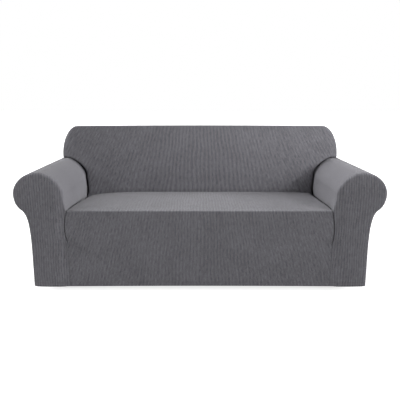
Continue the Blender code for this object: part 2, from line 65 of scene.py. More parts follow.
# Seat panel and skirt
# One length of the grey knit runs from the turned hem up the front, over the seat's edge and back across
# the seats. It is sewn to both arms and the inside back, and pushed down into a tuck along each of them.
SIDES = (-1, 1)  # the left arm's side and the right arm's
CLOTH = 0.002  # thickness
SEAM_GAP = 0.0003  # between two panels that are sewn together
ORIGIN = Vector((0, 0.750, 0.8850))
HEM_Z = 0.040
HEM_TURN_R = 0.00225
HEM_DEPTH = 0.022
HEM_LIFT = 0.003  # the stretched hem rides up by this much in the middle of the skirt
HEM_LIFT_SPAN = 0.240
BLOCK_WIDTH = 0.0056  # the knit's small raised blocks, and the loops across each
BLOCK_LENGTH = 0.0064
LOOPS_A_BLOCK = 5
STITCHES_UP = 0.0205  # the hem is held by twin rows of stitches
STITCH_ROWS_APART = 0.003
STITCH_LENGTH = 0.0036
PUCKER_REACH = 0.020
SEAT_FRONT_Z = 0.476  # how far up the seat's front edge is, and how far back its rear
SEAT_EDGE_R = 0.006
SEAT_REAR_Y = 0.615
SEAT_LIP_R = 0.006
SEAT_TUCK = 0.042
SEAT_SIDE_GAP = {-1: 0.0120, 1: 0.0085}  # the seat hangs this far off each arm, above the seam
SEAT_SAG_POWER = 7  # the seat stays level up to near the arms, and then sinks
INNER_WALL_X = 0.7325
WALL_FLARE = 0.2  # below the seat the arm's inner wall leans out by this slope
WALL_GIVES = 0.012  # the arm's wall is pressed out by this much where it is down beside the seat
WALL_GIVES_REACH = 0.009
WALL_GIVES_TO_Y = 0.640
WALL_GIVES_FADE = 0.060
WALL_JOINS = 0.050  # behind the skirt's tuck, the seam runs over to the wall along this length
ARM_PINCH = 0.022  # the arm is drawn in by this much towards the tuck beside the backrest
PINCH_FROM_Y = 0.540
PINCH_TO_Y = 0.610
PINCH_OUT_X = 0.960  # from nothing here to all of it on the inner wall
PINCH_SPAN = 0.225
BACK_HALF = 0.917  # half width of the backrest
BACK_END_X = 0.500  # the ends of the backrest start to round off here
BACK_END_DEPTH = 0.060
BACK_FOOT_RECESS = 0.003  # the backrest stands this much further back, down in the tuck behind the seat
TUCK_LIP_WALL = 0.036  # beside the arms it rounds off over this width, and over this depth
TUCK_LIP_DEPTH = 0.018
SEAT_FAN = 0.060  # the tuck spreads out beside each arm over this length
SKIRT_BULGE = 0.010
SKIRT_BULGE_SPAN = 0.540
SKIRT_STILL = 0.040  # folds die away this near to the sides, on the skirt and on the seat
SEAT_STILL = 0.060
SEAT_STILL_FRONT = 0.050
SEAT_WIDENS_BY = 0.090  # behind its front corners, the seat reaches its full width over this length
TUCK_TOP_Z = 0.469  # the tuck between the skirt and each arm front, and below it a plain seam
TUCK_FOOT_Z = 0.281
TUCK_FADE = 0.020
TUCK_DEPTH = 0.040
TUCK_R = 0.0030
TUCK_SLOT = 0.0018  # each side of the tuck hangs this far off the seam down in it
CORNER_SLOT = 0.0030  # and this far at the seat's front corner
CORNER_SLOT_FROM_Z = 0.425
CORNER_SLOT_SPAN = 0.045
SEAM_DEPTH = 0.002
SEAM_R = 0.0008
FOOT_DROPS_FROM_Z = 0.400  # the foot of the tuck sinks away under the seat's corner from here up
FOOT_BACK_TO_Y = 0.090
FOOT_TURN = 0.003  # the foot turns the corner under the seat's edge in steps over this length
SKIRT_FAN = 0.53  # how much the ribs spread apart, per metre down the skirt
ARC = (18, 36, 54, 72, 90)  # rows round a lip, in degrees
HANG_ROWS = (0.35, 0.75)  # and down its tuck, as shares of the depth
SEAT_COLUMNS = 176
SKIRT_ROWS, EDGE_ROWS, SEAT_TOP_ROWS = 54, 6, 72
ROW_NUMBERS = 1000  # numbers set aside for the places in each row of a laid grid

# Height of the seat from its front to its rear, beside each arm and in the middle
SeatRow = namedtuple("SeatRow", "back left middle right")
SEAT_ROWS = (
    SeatRow(0.000, 0.4755, 0.476, 0.4755),
    SeatRow(0.100, 0.4755, 0.477, 0.4745),
    SeatRow(0.270, 0.4640, 0.476, 0.4655),
    SeatRow(0.420, 0.4530, 0.471, 0.4595),
    SeatRow(0.530, 0.4410, 0.466, 0.4550),
    SeatRow(0.615, 0.4320, 0.461, 0.4525),
)

# How far out the skirt's two seams run, from the hem up to the seat
SkirtSeam = namedtuple("SkirtSeam", "up left right")
SKIRT_SEAM = (
    SkirtSeam(HEM_Z, 0.7265, 0.7265),
    SkirtSeam(0.200, 0.7270, 0.7265),
    SkirtSeam(0.294, 0.7285, 0.7280),
    SkirtSeam(0.320, 0.7355, 0.7325),
    SkirtSeam(0.365, 0.7410, 0.7345),
    SkirtSeam(0.402, 0.7400, 0.7315),
    SkirtSeam(0.435, 0.7360, 0.7275),
    SkirtSeam(TUCK_TOP_Z, 0.7275, 0.7215),
)
DRAWN_IN = {-1: 0.004, 1: 0.010}  # each arm's wall is drawn in this far to the seat's front corner
DRAWN_IN_TO_Z = 0.540
DRAWN_IN_SPAN = 0.065
DRAWN_IN_LENGTH = 0.120

Fold = namedtuple("Fold", "a1 b1 a2 b2 width rise")


def folds(*rows):
    """Folds from rows in millimetres. Each runs on its panel from a1, b1 to a2, b2, and is a ridge where
    its rise is above 0, and a trough below."""
    return [Fold(*(number / 1000 for number in row)) for row in rows]


SKIRT_FOLDS = folds(
    (-700, 275, -610, 190, 30, -2.2),
    (-690, 330, -560, 300, 34, 1.6),
    (-540, 420, -500, 260, 45, -1.2),
    (-330, 410, -300, 180, 55, 1.4),
    (-120, 380, -90, 240, 50, -1),
    (90, 400, 110, 270, 60, 1.4),
    (290, 330, 330, 120, 50, -1.2),
    (470, 430, 520, 300, 45, -1.4),
    (690, 320, 590, 280, 34, 1.8),
    (700, 265, 620, 170, 30, -2.4),
)
SEAT_FOLDS = folds(
    (-640, 60, -420, 200, 45, -1.8),
    (-660, 330, -470, 420, 50, 2),
    (-250, 80, -230, 460, 60, -2.2),
    (20, 200, 90, 480, 70, 1.8),
    (270, 60, 240, 430, 60, -2.2),
    (480, 420, 660, 300, 50, 2),
    (650, 80, 450, 170, 45, -1.8),
)


def mix(a, b, t):
    return a + (b - a) * t


def ease(t):
    """0 below t = 0, 1 above t = 1, and smooth between them."""
    t = min(max(t, 0.0), 1.0)
    return t * t * (3 - 2 * t)


def spread(start, end, steps):
    return [mix(start, end, k / steps) for k in range(steps + 1)]


def cos_sin(degrees):
    return math.cos(math.radians(degrees)), math.sin(math.radians(degrees))


def read_table(table, key, column, at):
    """Smooth value of a table's column where its key column equals at."""
    keys = [getattr(row, key) for row in table]
    values = [getattr(row, column) for row in table]
    at = min(max(at, keys[0]), keys[-1])
    i = max(k for k in range(len(keys) - 1) if keys[k] <= at)
    span = keys[i + 1] - keys[i]

    def slope(k):
        low, high = max(k - 1, 0), min(k + 1, len(keys) - 1)
        return (values[high] - values[low]) / (keys[high] - keys[low]) * span

    t = (at - keys[i]) / span
    return (
        (2 * t**3 - 3 * t**2 + 1) * values[i]
        + (t**3 - 2 * t**2 + t) * slope(i)
        + (3 * t**2 - 2 * t**3) * values[i + 1]
        + (t**3 - t**2) * slope(i + 1)
    )


def fold_rise(some_folds, a, b):
    """How far the cloth stands out of its smooth shape at a, b because of these folds."""
    rise = 0.0
    for fold in some_folds:
        along = Vector((fold.a2 - fold.a1, fold.b2 - fold.b1))
        reach = Vector((a - fold.a1, b - fold.b1))
        share = min(max(reach.dot(along) / along.length_squared, 0), 1)
        away = (reach - along * share).length / fold.width
        if away < 3:
            rise += fold.rise * math.exp(-away * away)
    return rise


def lay_cloth(grid, keep=None):
    """A bmesh grid on rows of pairs: a point, and its distances across the weave, along it and from a seam.
    Only the cells for which keep(column, row) is true are laid."""
    rows, columns = len(grid) - 1, len(grid[0]) - 1
    bm = bmesh.new()
    bmesh.ops.create_grid(bm, x_segments=columns, y_segments=rows, size=0.5)
    place = bm.verts.layers.int.new("place")
    woven = bm.verts.layers.float_vector.new("woven")
    dropped = []
    for face in bm.faces if keep else ():
        centre = face.calc_center_median()
        if not keep(int((centre.x + 0.5) * columns), int((centre.y + 0.5) * rows)):
            dropped.append(face)
    for vert in bm.verts:
        i = round((vert.co.x + 0.5) * columns)
        j = round((vert.co.y + 0.5) * rows)
        vert[place] = j * ROW_NUMBERS + i
        vert.co, vert[woven] = grid[j][i]
    bmesh.ops.delete(bm, geom=dropped, context="FACES")
    bmesh.ops.delete(bm, geom=[v for v in bm.verts if not v.link_faces], context="VERTS")
    return bm


def border_of(bm, *turns):
    """The vertices along the lines of a laid grid, from turn to turn. Each turn is a column and a row."""
    place = bm.verts.layers.int["place"]
    found = {v[place]: v for v in bm.verts}
    border = [found[turns[0][1] * ROW_NUMBERS + turns[0][0]]]
    for (i, j), (to_i, to_j) in zip(turns, turns[1:]):
        steps = max(abs(to_i - i), abs(to_j - j))
        for k in range(1, steps + 1):
            column, row = i + (to_i - i) * k // steps, j + (to_j - j) * k // steps
            border.append(found[row * ROW_NUMBERS + column])
    return border


def fold_edge(bm, border, paths, drifts):
    """Extrudes a border, so that each vertex goes on along its path, and gives the rows of new vertices.
    drifts are the ways that the weave runs on past the border, for each vertex or one for all of them."""
    if isinstance(drifts, tuple):
        drifts = [drifts] * len(border)
    place = bm.verts.layers.int["place"]
    woven = bm.verts.layers.float_vector["woven"]
    for k, vert in enumerate(border):
        vert[place] = k
    begun = [vert[woven].copy() for vert in border]
    gone = [0.0] * len(border)
    rows = [border]
    for _ in paths[0]:
        edges = [bm.edges.get(pair) for pair in zip(rows[-1], rows[-1][1:])]
        made = bmesh.ops.extrude_edge_only(bm, edges=edges)["geom"]
        row = sorted((g for g in made if isinstance(g, bmesh.types.BMVert)), key=lambda v: v[place])
        for k, (vert, path, drift) in enumerate(zip(row, paths, drifts)):
            point = path[len(rows) - 1]
            gone[k] += (point - rows[-1][k].co).length
            vert.co = point
            vert[woven] = begun[k] + Vector((drift[0] * gone[k], drift[1] * gone[k], 0))
        rows.append(row)
    return rows[1:]


def roll_over(point, out, inward, radius, foot):
    """Where a border point goes as the cloth rolls over a lip of this radius and hangs down to foot.
    It keeps clear of the other side for most of the way, and turns in to the foot at the end."""
    path = []
    for degrees in ARC:
        c, s = cos_sin(degrees)
        path.append(point + out * radius * s + inward * radius * (1 - c))
    span = foot - path[-1]
    hang = span - out * span.dot(out) / out.length_squared
    return path + [path[-1] + hang * share for share in HANG_ROWS] + [foot]


def turn_hem(bm, border, inward):
    """Turns the lower border under and up the inside, as deep as the hem."""
    turns = []
    for degrees in (45, 90, 135, 180):
        c, s = cos_sin(degrees)
        turns.append(inward * HEM_TURN_R * (1 - c) - Vector((0, 0, HEM_TURN_R * s)))
    turns += [inward * 2 * HEM_TURN_R + Vector((0, 0, up)) for up in (HEM_DEPTH / 2, HEM_DEPTH)]
    fold_edge(bm, border, [[vert.co + turn for turn in turns] for vert in border], (0, -1))


def feed(node, inputs):
    """Gives a node its inputs, by name or in order: each a value, or the output that it is linked to."""
    for key, value in inputs.items() if isinstance(inputs, dict) else enumerate(inputs):
        if isinstance(value, bpy.types.NodeSocket):
            node.id_data.links.new(value, node.inputs[key])
        else:
            node.inputs[key].default_value = value


def node_calls(tree):
    """Short calls that add nodes to a tree: any kind of node, a calculation and a change of range."""

    def add(kind, inputs=(), **settings):
        node = tree.nodes.new("ShaderNode" + kind)
        for setting, value in settings.items():
            setattr(node, setting, value)
        feed(node, inputs)
        return node

    def calc(operation, *values):
        return add("Math", values, operation=operation).outputs[0]

    def remap(value, low, high, to_low, to_high, smooth=True):
        kind = "SMOOTHSTEP" if smooth else "LINEAR"
        return add("MapRange", (value, low, high, to_low, to_high), interpolation_type=kind).outputs[0]

    return add, calc, remap


def shader_group(name, inputs, outputs):
    """A new shader group with these sockets, what it is given, and the node for its results."""
    group = bpy.data.node_groups.new(name, "ShaderNodeTree")
    for way, sockets in (("INPUT", inputs), ("OUTPUT", outputs)):
        for socket, kind in sockets.items():
            group.interface.new_socket(socket, in_out=way, socket_type="NodeSocket" + kind)
    return group, group.nodes.new("NodeGroupInput").outputs, group.nodes.new("NodeGroupOutput")


def knit_check_group():
    """Raised blocks of knit in rows and columns, parted by thin grooves, with uneven ribs of tone."""
    inputs = {"Cloth": "Vector", "Colour": "Color"}
    inputs.update(dict.fromkeys(("Rib Width", "Rib Contrast", "Middle Breaks", "Side Breaks"), "Float"))
    outputs = {"Colour": "Color", "Height": "Float", "Roughness": "Float"}
    group, given, results = shader_group("knit_check", inputs, outputs)
    add, calc, remap = node_calls(group)

    def plane(x, y):
        return add("CombineXYZ", (x, y)).outputs[0]

    def noise(vector, scale, detail):
        inputs = {"Vector": vector, "Scale": scale, "Detail": detail}
        return add("TexNoise", inputs, noise_dimensions="2D").outputs["Fac"]

    def white(x, y):
        return add("TexWhiteNoise", {"Vector": plane(x, y)}, noise_dimensions="2D").outputs["Value"]

    def stretched_noise(across_scale, along_scale):
        return noise(plane(calc("MULTIPLY", u, across_scale), calc("MULTIPLY", v, along_scale)), 1, 1)

    u, v, _ = add("SeparateXYZ", [given["Cloth"]]).outputs

    # Blocks, in slightly wandering rows
    wander = remap(noise(given["Cloth"], 16, 2), 0.25, 0.75, -0.4, 0.4, smooth=False)
    across = calc("MULTIPLY_ADD", u, 1 / BLOCK_WIDTH, wander)
    along = calc("MULTIPLY_ADD", v, 1 / BLOCK_LENGTH, wander)
    body_across = remap(calc("PINGPONG", across, 0.5), 0.04, 0.20, 0, 1)
    body_along = remap(calc("PINGPONG", along, 0.5), 0.03, 0.15, 0, 1)
    block = calc("MULTIPLY", body_across, body_along)
    column = calc("FLOOR", across)
    differ = remap(white(column, calc("FLOOR", along)), 0, 1, -0.05, 0.05, smooth=False)
    loops = calc("PINGPONG", calc("MULTIPLY", across, LOOPS_A_BLOCK), 0.5)

    # Columns of lighter and darker blocks, broken into dashes three blocks long, and gathered in ribs
    first = calc("MULTIPLY", white(column, 0.5), 7)
    dash_row = calc("FLOOR", calc("MULTIPLY_ADD", along, 1 / 3, first))
    dash = remap(white(column, dash_row), 0, 1, -0.8, 0.8, smooth=False)
    turns = calc("DIVIDE", calc("MULTIPLY", u, math.tau), given["Rib Width"])
    wave = calc("SINE", calc("ADD", turns, calc("MULTIPLY", stretched_noise(7, 5), 8)))
    breaks = remap(calc("ABSOLUTE", u), 0.10, 0.45, given["Middle Breaks"], given["Side Breaks"])
    broken = calc("MULTIPLY_ADD", breaks, remap(stretched_noise(55, 45), 0.35, 0.65, -1.3, 0.5), 1)
    ribs = calc("MULTIPLY", calc("MULTIPLY_ADD", wave, broken, dash), given["Rib Contrast"])
    mottle = remap(noise(given["Cloth"], 7, 3), 0.3, 0.7, -0.045, 0.045, smooth=False)
    groove = remap(block, 0, 1, 0.66, 1.06, smooth=False)
    plain = calc("ADD", calc("ADD", mottle, differ), 1.0)
    tone = calc("MULTIPLY", calc("ADD", ribs, plain), groove)
    shade = add("VectorMath", {"Vector": given["Colour"], "Scale": tone}, operation="SCALE")
    height = calc("ADD", calc("MULTIPLY_ADD", block, 0.75, calc("MULTIPLY", loops, 0.3)), differ)
    roughness = remap(block, 0, 1, 0.97, 0.86, smooth=False)
    feed(results, {"Colour": shade.outputs[0], "Height": height, "Roughness": roughness})
    return group


def sewn_edges_and_seam_shade_group():
    """Small puckers and painted shade along the seams and in the tucks, and the two rows of stitches that
    hold the hem.
    """
    inputs = {"Cloth": "Vector", "From Seam": "Float", "Colour": "Color"}
    group, given, results = shader_group("sewn_edges_and_seam_shade", inputs, {"Colour": "Color", "Height": "Float"})
    add, calc, remap = node_calls(group)
    u, v, _ = add("SeparateXYZ", [given["Cloth"]]).outputs

    # Twin rows of stitches
    off_rows = calc("ABSOLUTE", calc("SUBTRACT", v, STITCHES_UP))
    off_row = calc("ABSOLUTE", calc("SUBTRACT", off_rows, STITCH_ROWS_APART / 2))
    in_stitch = remap(calc("PINGPONG", u, STITCH_LENGTH / 2), 0.0002, 0.0006, 0, 1)
    stitch = calc("MULTIPLY", remap(off_row, 0.0003, 0.0008, 1, 0), in_stitch)
    pulled = calc("MULTIPLY", remap(off_rows, 0.0, 0.006, 1, 0), 0.9)

    # Puckers that die away from a seam
    near = remap(given["From Seam"], 0.0, PUCKER_REACH, 1, 0)
    ripple = add("TexNoise", {"Vector": given["Cloth"], "Scale": 70, "Detail": 1}).outputs["Fac"]
    pucker = calc("MULTIPLY", near, calc("SUBTRACT", ripple, 0.5))
    relief = calc("SUBTRACT", calc("MULTIPLY", pucker, 2.4), pulled)
    # Painted shade: darker within 2.2 mm of a seam, and all through the tucks and rolled rims, where the
    # distance from a seam stays 0
    painted_seam_shade = remap(given["From Seam"], 0.0, 0.0022, 0.88, 1)
    dark = calc("MULTIPLY", painted_seam_shade, remap(stitch, 0, 1, 1, 0.74))
    shade = add("VectorMath", {"Vector": given["Colour"], "Scale": dark}, operation="SCALE")
    feed(results, {"Colour": shade.outputs[0], "Height": calc("MULTIPLY_ADD", stitch, 0.5, relief)})
    return group


knit_check = knit_check_group()
sewn_edges_and_seam_shade = sewn_edges_and_seam_shade_group()
KnitLook = namedtuple("KnitLook", "colour rib_width contrast middle_breaks side_breaks")
GREY = (0.176, 0.173, 0.190)
SEAT_LOOK = KnitLook(GREY, rib_width=0.0164, contrast=0.125, middle_breaks=0.6, side_breaks=1)


def grey_knit(name, look):
    """The cover's knit, with the tone and the ribs of one panel. The breaks say how patchy the ribs are."""
    material = bpy.data.materials.new(name)
    material.use_nodes = True
    add, calc, remap = node_calls(material.node_tree)
    cloth = add("UVMap", uv_map="cloth").outputs["UV"]
    from_seam = add("Attribute", attribute_name="from_seam").outputs["Fac"]
    ribs = {"Rib Width": look.rib_width, "Rib Contrast": look.contrast}
    breaks = {"Middle Breaks": look.middle_breaks, "Side Breaks": look.side_breaks}
    knit = add("Group", node_tree=knit_check)
    feed(knit, {"Cloth": cloth, "Colour": (*look.colour, 1), **ribs, **breaks})
    # Puckers, hem stitches, and painted shade along the seams and in the tucks
    edges = add("Group", node_tree=sewn_edges_and_seam_shade)
    feed(edges, {"Cloth": cloth, "From Seam": from_seam, "Colour": knit.outputs["Colour"]})
    surface = calc("ADD", knit.outputs["Height"], edges.outputs["Height"])
    relief = add("Bump", {"Strength": 0.75, "Distance": 0.0008, "Height": surface})
    shader = material.node_tree.nodes["Principled BSDF"]
    feed(shader, {"Metallic": 0.0, "Specular IOR Level": 0.2})
    feed(shader, {"Sheen Weight": 0.12, "Sheen Roughness": 0.5, "Normal": relief.outputs["Normal"]})
    feed(shader, {"Base Color": edges.outputs["Colour"], "Roughness": knit.outputs["Roughness"]})
    return material


def link_in(name, data):
    """A new object with this data, in the scene."""
    made = bpy.data.objects.new(name, data)
    bpy.context.scene.collection.objects.link(made)
    return made


def sew_panel(bm, name, node, core, material):
    """Finishes a surface as a panel of cloth, thickened towards core, a point inside the sofa."""
    bmesh.ops.recalc_face_normals(bm, faces=bm.faces)
    facing = sum(f.normal.dot(f.calc_center_median() - core) * f.calc_area() for f in bm.faces)
    if facing < 0:
        bmesh.ops.reverse_faces(bm, faces=bm.faces)
    woven = bm.verts.layers.float_vector["woven"]
    cloth_map = bm.loops.layers.uv.new("cloth")
    from_seam = bm.verts.layers.float.new("from_seam")
    for face in bm.faces:
        for loop in face.loops:
            loop[cloth_map].uv = loop.vert[woven].xy
    # The distance from a seam stays 0 down the tucks and round the rolled rims, so the painted seam shade
    # covers them too
    for vert in bm.verts:
        vert[from_seam] = vert[woven].z
    for edge in bm.edges:
        edge.smooth = not edge.is_boundary
    bmesh.ops.translate(bm, verts=bm.verts, vec=-ORIGIN)
    mesh = bpy.data.meshes.new(name)
    bm.to_mesh(mesh)
    bm.free()
    mesh.shade_smooth()
    mesh.materials.append(material)
    panel = link_in(name, mesh)
    cloth = panel.modifiers.new("cloth", "SOLIDIFY")
    cloth.thickness = CLOTH
    cloth.offset = -1
    cloth.use_even_offset = True
    cloth.use_quality_normals = True
    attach(panel, "root")
    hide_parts(node)
    return panel


def seat_height(x, y):
    beside = read_table(SEAT_ROWS, "back", "left" if x < 0 else "right", y)
    middle = read_table(SEAT_ROWS, "back", "middle", y)
    return mix(middle, beside, min(abs(x) / INNER_WALL_X, 1) ** SEAT_SAG_POWER)


def skirt_seam(side, z):
    return read_table(SKIRT_SEAM, "up", "left" if side < 0 else "right", z)


def arm_drawn_in(side, y, z):
    """How far the arm's wall comes in over its plain line, near the seat's front corner."""
    return DRAWN_IN[side] * ease((DRAWN_IN_TO_Z - z) / DRAWN_IN_SPAN) * ease(1 - y / DRAWN_IN_LENGTH)


def skirt_tuck(z):
    """How far a height is into the tuck beside the skirt: 0 in the plain seam, 1 where it is full."""
    return ease((z - TUCK_FOOT_Z) / TUCK_FADE)


def arm_pinch(x, y):
    """How far the arm's cloth is drawn in at x and y."""
    back = ease((y - PINCH_FROM_Y) / (PINCH_TO_Y - PINCH_FROM_Y))
    return ARM_PINCH * back * ease((PINCH_OUT_X - x) / PINCH_SPAN)


def beside_seat(side, y, z):
    """How far out the seam between the seat and an arm runs, at depth y and height z down in the tuck."""
    gives = WALL_GIVES * ease((seat_height(side * INNER_WALL_X, y) - z) / WALL_GIVES_REACH)
    gives *= ease((WALL_GIVES_TO_Y - y) / WALL_GIVES_FADE)
    wall = INNER_WALL_X + WALL_FLARE * max(TUCK_TOP_Z - z, 0) + gives
    return mix(skirt_seam(side, z) + SEAM_GAP / 2, wall, ease((y - TUCK_DEPTH) / WALL_JOINS))


def end_share(x):
    """How far x is round the end of the backrest, from 0 on its flat front to 1 at its side."""
    return min(max(abs(x) - BACK_END_X, 0) / (BACK_HALF - BACK_END_X), 1)


def end_depth(x):
    """How far the front of the backrest lies back at x, because its end is rounded."""
    return BACK_END_DEPTH * (1 - math.sqrt(1 - end_share(x) ** 2))


def behind_seat(x):
    """How deep the backrest's cloth stands at x, down in the tuck behind the seat."""
    lip_x = INNER_WALL_X + ARM_PINCH - SEAM_GAP - TUCK_LIP_WALL
    along = min(max((abs(x) - lip_x) / TUCK_LIP_WALL, 0), 1)
    front_y = SEAT_REAR_Y + BACK_FOOT_RECESS + end_depth(min(abs(x), lip_x))
    return front_y + TUCK_LIP_DEPTH * (1 - math.sqrt(1 - along ** 2))


def skirt_slot(z):
    """How far the skirt hangs off the seam down in that tuck, which opens out under the seat's corner."""
    return skirt_tuck(z) * mix(TUCK_SLOT, CORNER_SLOT, ease((z - CORNER_SLOT_FROM_Z) / CORNER_SLOT_SPAN))


def skirt_y(across, z):
    swell = math.sin(math.pi * min((z - HEM_Z) / SKIRT_BULGE_SPAN, 1))
    return -SKIRT_BULGE * swell * (1 - across**4)


def lay_across(halves, across):
    """How far to the right a point lies, and how far from the nearer side of a row that reaches this far
    to the left and to the right. Across is -1 at the left side and 1 at the right."""
    x = mix(-halves[0], halves[1], (across + 1) / 2)
    return x, min(x + halves[0], halves[1] - x)


skirt_foot_z = HEM_Z + HEM_TURN_R
edge_z = SEAT_FRONT_Z - SEAT_EDGE_R
tuck_foot_z = SEAT_FRONT_Z - SEAT_TUCK
foot_drop = (edge_z - tuck_foot_z + FOOT_TURN) / (edge_z - FOOT_DROPS_FROM_Z)
acrosses = spread(-1, 1, SEAT_COLUMNS)
grid, lips = [], {-1: [], 1: []}
for z in spread(skirt_foot_z, edge_z, SKIRT_ROWS)[:-1]:
    radius = mix(SEAM_R, TUCK_R, skirt_tuck(z))
    depth = mix(SEAM_DEPTH, TUCK_DEPTH, skirt_tuck(z))
    foot_z = z - max(z - FOOT_DROPS_FROM_Z, 0) * foot_drop
    for side in SIDES:
        foot = Vector((skirt_seam(side, foot_z) - SEAM_GAP / 2, depth, foot_z))
        lips[side].append((Vector((0, 1, 0)), radius, foot))
    halves = [skirt_seam(side, z) - SEAM_GAP / 2 - radius - skirt_slot(z) for side in SIDES]
    lift = HEM_LIFT * max(1 - (z - HEM_Z) / HEM_LIFT_SPAN, 0)
    row = []
    for across in acrosses:
        x, from_side = lay_across(halves, across)
        y = skirt_y(across, z) - fold_rise(SKIRT_FOLDS, x, z) * ease(from_side / SKIRT_STILL)
        woven = Vector((x / (1 + SKIRT_FAN * (edge_z - z)), z - skirt_foot_z, from_side))
        row.append((Vector((x, y, z + lift * (1 - across**2))), woven))
    grid.append(row)
skirt_length = edge_z - skirt_foot_z
edge_halves = [skirt_seam(side, edge_z) - SEAM_GAP / 2 - TUCK_R - CORNER_SLOT for side in SIDES]
for degrees in spread(0, 90, EDGE_ROWS):
    c, s = cos_sin(degrees)
    for side in SIDES:
        foot_x = skirt_seam(side, tuck_foot_z) - SEAM_GAP / 2
        foot = Vector((foot_x, TUCK_DEPTH + FOOT_TURN * s, tuck_foot_z - FOOT_TURN * c))
        lips[side].append((Vector((0, c, -s)), TUCK_R, foot))
    along = skirt_length + SEAT_EDGE_R * math.radians(degrees)
    row = []
    for across in acrosses:
        x, from_side = lay_across(edge_halves, across)
        point = Vector((x, skirt_y(across, edge_z) + SEAT_EDGE_R * (1 - c), edge_z + SEAT_EDGE_R * s))
        row.append((point, Vector((x, along, from_side))))
    grid.append(row)
edge_length = skirt_length + SEAT_EDGE_R * math.pi / 2
seat_halves = [INNER_WALL_X - SEAM_GAP - SEAT_SIDE_GAP[side] - SEAT_LIP_R for side in SIDES]
for y in spread(SEAT_EDGE_R, SEAT_REAR_Y - SEAT_LIP_R, SEAT_TOP_ROWS)[1:]:
    share = ease((y - SEAT_EDGE_R) / SEAT_WIDENS_BY)
    halves = [mix(front, rear, share) for front, rear in zip(edge_halves, seat_halves)]
    radius = mix(TUCK_R, SEAT_LIP_R, share)
    for side, half in zip(SIDES, halves):
        foot_y = y + (TUCK_DEPTH + FOOT_TURN) * max(1 - y / FOOT_BACK_TO_Y, 0)
        foot_z = seat_height(side * half, y) - SEAT_TUCK
        foot_x = beside_seat(side, foot_y, foot_z) + arm_pinch(INNER_WALL_X, foot_y) - SEAM_GAP
        foot = Vector((foot_x, foot_y, foot_z))
        lips[side].append((Vector((0, 0, -1)), radius, foot))
    row = []
    for across in acrosses:
        x, from_side = lay_across(halves, across)
        still = ease(from_side / SEAT_STILL) * ease((y - SEAT_EDGE_R) / SEAT_STILL_FRONT)
        point = Vector((x, y, seat_height(x, y) + fold_rise(SEAT_FOLDS, x, y) * still))
        row.append((point, Vector((x, edge_length + y - SEAT_EDGE_R, min(from_side, SEAT_REAR_Y - y)))))
    grid.append(row)

seat_bm = lay_cloth(grid)
top = len(grid) - 1
left_border = border_of(seat_bm, (0, 0), (0, top))
right_border = border_of(seat_bm, (SEAT_COLUMNS, 0), (SEAT_COLUMNS, top))
rear_border = border_of(seat_bm, (0, top), (SEAT_COLUMNS, top))
hem_border = border_of(seat_bm, (0, 0), (SEAT_COLUMNS, 0))
corner_paths = {}
for side, border in ((-1, left_border), (1, right_border)):
    paths = []
    for vert, (inward, radius, foot) in zip(border, lips[side]):
        end = Vector((side * foot.x, foot.y, foot.z))
        paths.append(roll_over(vert.co.copy(), Vector((side, 0, 0)), inward, radius, end))
    end.y = behind_seat(end.x)
    paths[-1] = roll_over(vert.co.copy(), Vector((side, 1, 0)), inward, radius, end)
    corner_paths[side] = paths[-1]
    fold_edge(seat_bm, border, paths, (side, 0))
paths = []
for point, woven in grid[-1]:
    side = int(math.copysign(1, point.x))
    half = seat_halves[SIDES.index(side)]
    spread_out = (abs(corner_paths[side][-1].x) - half) * max(1 - (half - abs(point.x)) / SEAT_FAN, 0)
    foot_x = point.x + side * spread_out
    foot = Vector((foot_x, behind_seat(foot_x), point.z - SEAT_TUCK))
    paths.append(roll_over(point, Vector((0, 1, 0)), Vector((0, 0, -1)), SEAT_LIP_R, foot))
paths[0], paths[-1] = corner_paths[-1], corner_paths[1]  # shared with the sides, so that no gap opens
fold_edge(seat_bm, rear_border, paths, (0, 1))
turn_hem(seat_bm, hem_border, Vector((0, 1, 0)))
seat_knit = grey_knit("grey_knit_seat", SEAT_LOOK)
seat_cloth = sew_panel(seat_bm, "seat_cloth", "seat_panel", Vector((0, 0.4, 0.1)), seat_knit)

# Arm panels
# Each arm has one length of the knit, which climbs from the tuck beside the seat up the inside of the arm,
# over the roll and down the outer side to the hem. Its inner half ends in the tuck beside the backrest.
ROLL_X = 0.868
ROLL_Z = 0.565
ROLL_INNER = 0.129
ROLL_OUTER = 0.1430
ROLL_RISE = 0.1195
ROLL_SHOULDER = 1.67  # superellipse power of the roll's inner side
ROLL_UNDERCUT = 50  # the cloth leaves the roll this many degrees below its middle
ROLL_UNDER_FULLNESS = 2.3  # superellipse power of the roll's lower outer side
SHOULDER_TURN = 135  # where the roll's inner side turns into its top, in degrees
INNER_WALL_TOP_Z = 0.490
OUTER_WALL_X = 0.9290
OUTER_WALL_TOP_Z = 0.240
FLARE_PULLS = ((0.0065, 0.440), (0.0010, 0.360))  # out from the wall and up, what shapes the sweep
ARM_FOOT_Z = 0.400
TUCK_CLOSES_Z = 0.430  # from here up the tuck beside the skirt gets shallower
ARM_TUCK_Y = 0.715
ARM_NARROW_Y = 0.739  # from here back only the part of the arm that the backrest leaves bare is made
SIDE_OVERLAP = 0.030  # the arm goes on under the end of the backrest this far
REAR_SEAM_Y = 0.853
RIM_Y = 0.008  # depth of the seam round the arm's front
RIM_DIP = 0.0014  # the cloth rounds down by this much towards that seam
RIM_DIP_REACH = 0.012
RIM_ROWS = (0, 0.002, 0.005, 0.009, 0.014, 0.0227)
ARM_STILL = 0.050  # folds die away this near to the rim, the tuck and the rear seam, and to the hem
ARM_HEM_STILL = 0.040
ARM_CREST = 0.80  # along the cloth from the hem, the tuck starts here
ARM_CREST_SPAN = 0.030
WALL_STEPS, SIDE_STEPS, TOP_STEPS = 20, 12, 16
ARM_GREY = (0.180, 0.177, 0.194)
ARM_LOOK = KnitLook(ARM_GREY, rib_width=0.0190, contrast=0.050, middle_breaks=0.5, side_breaks=0.5)

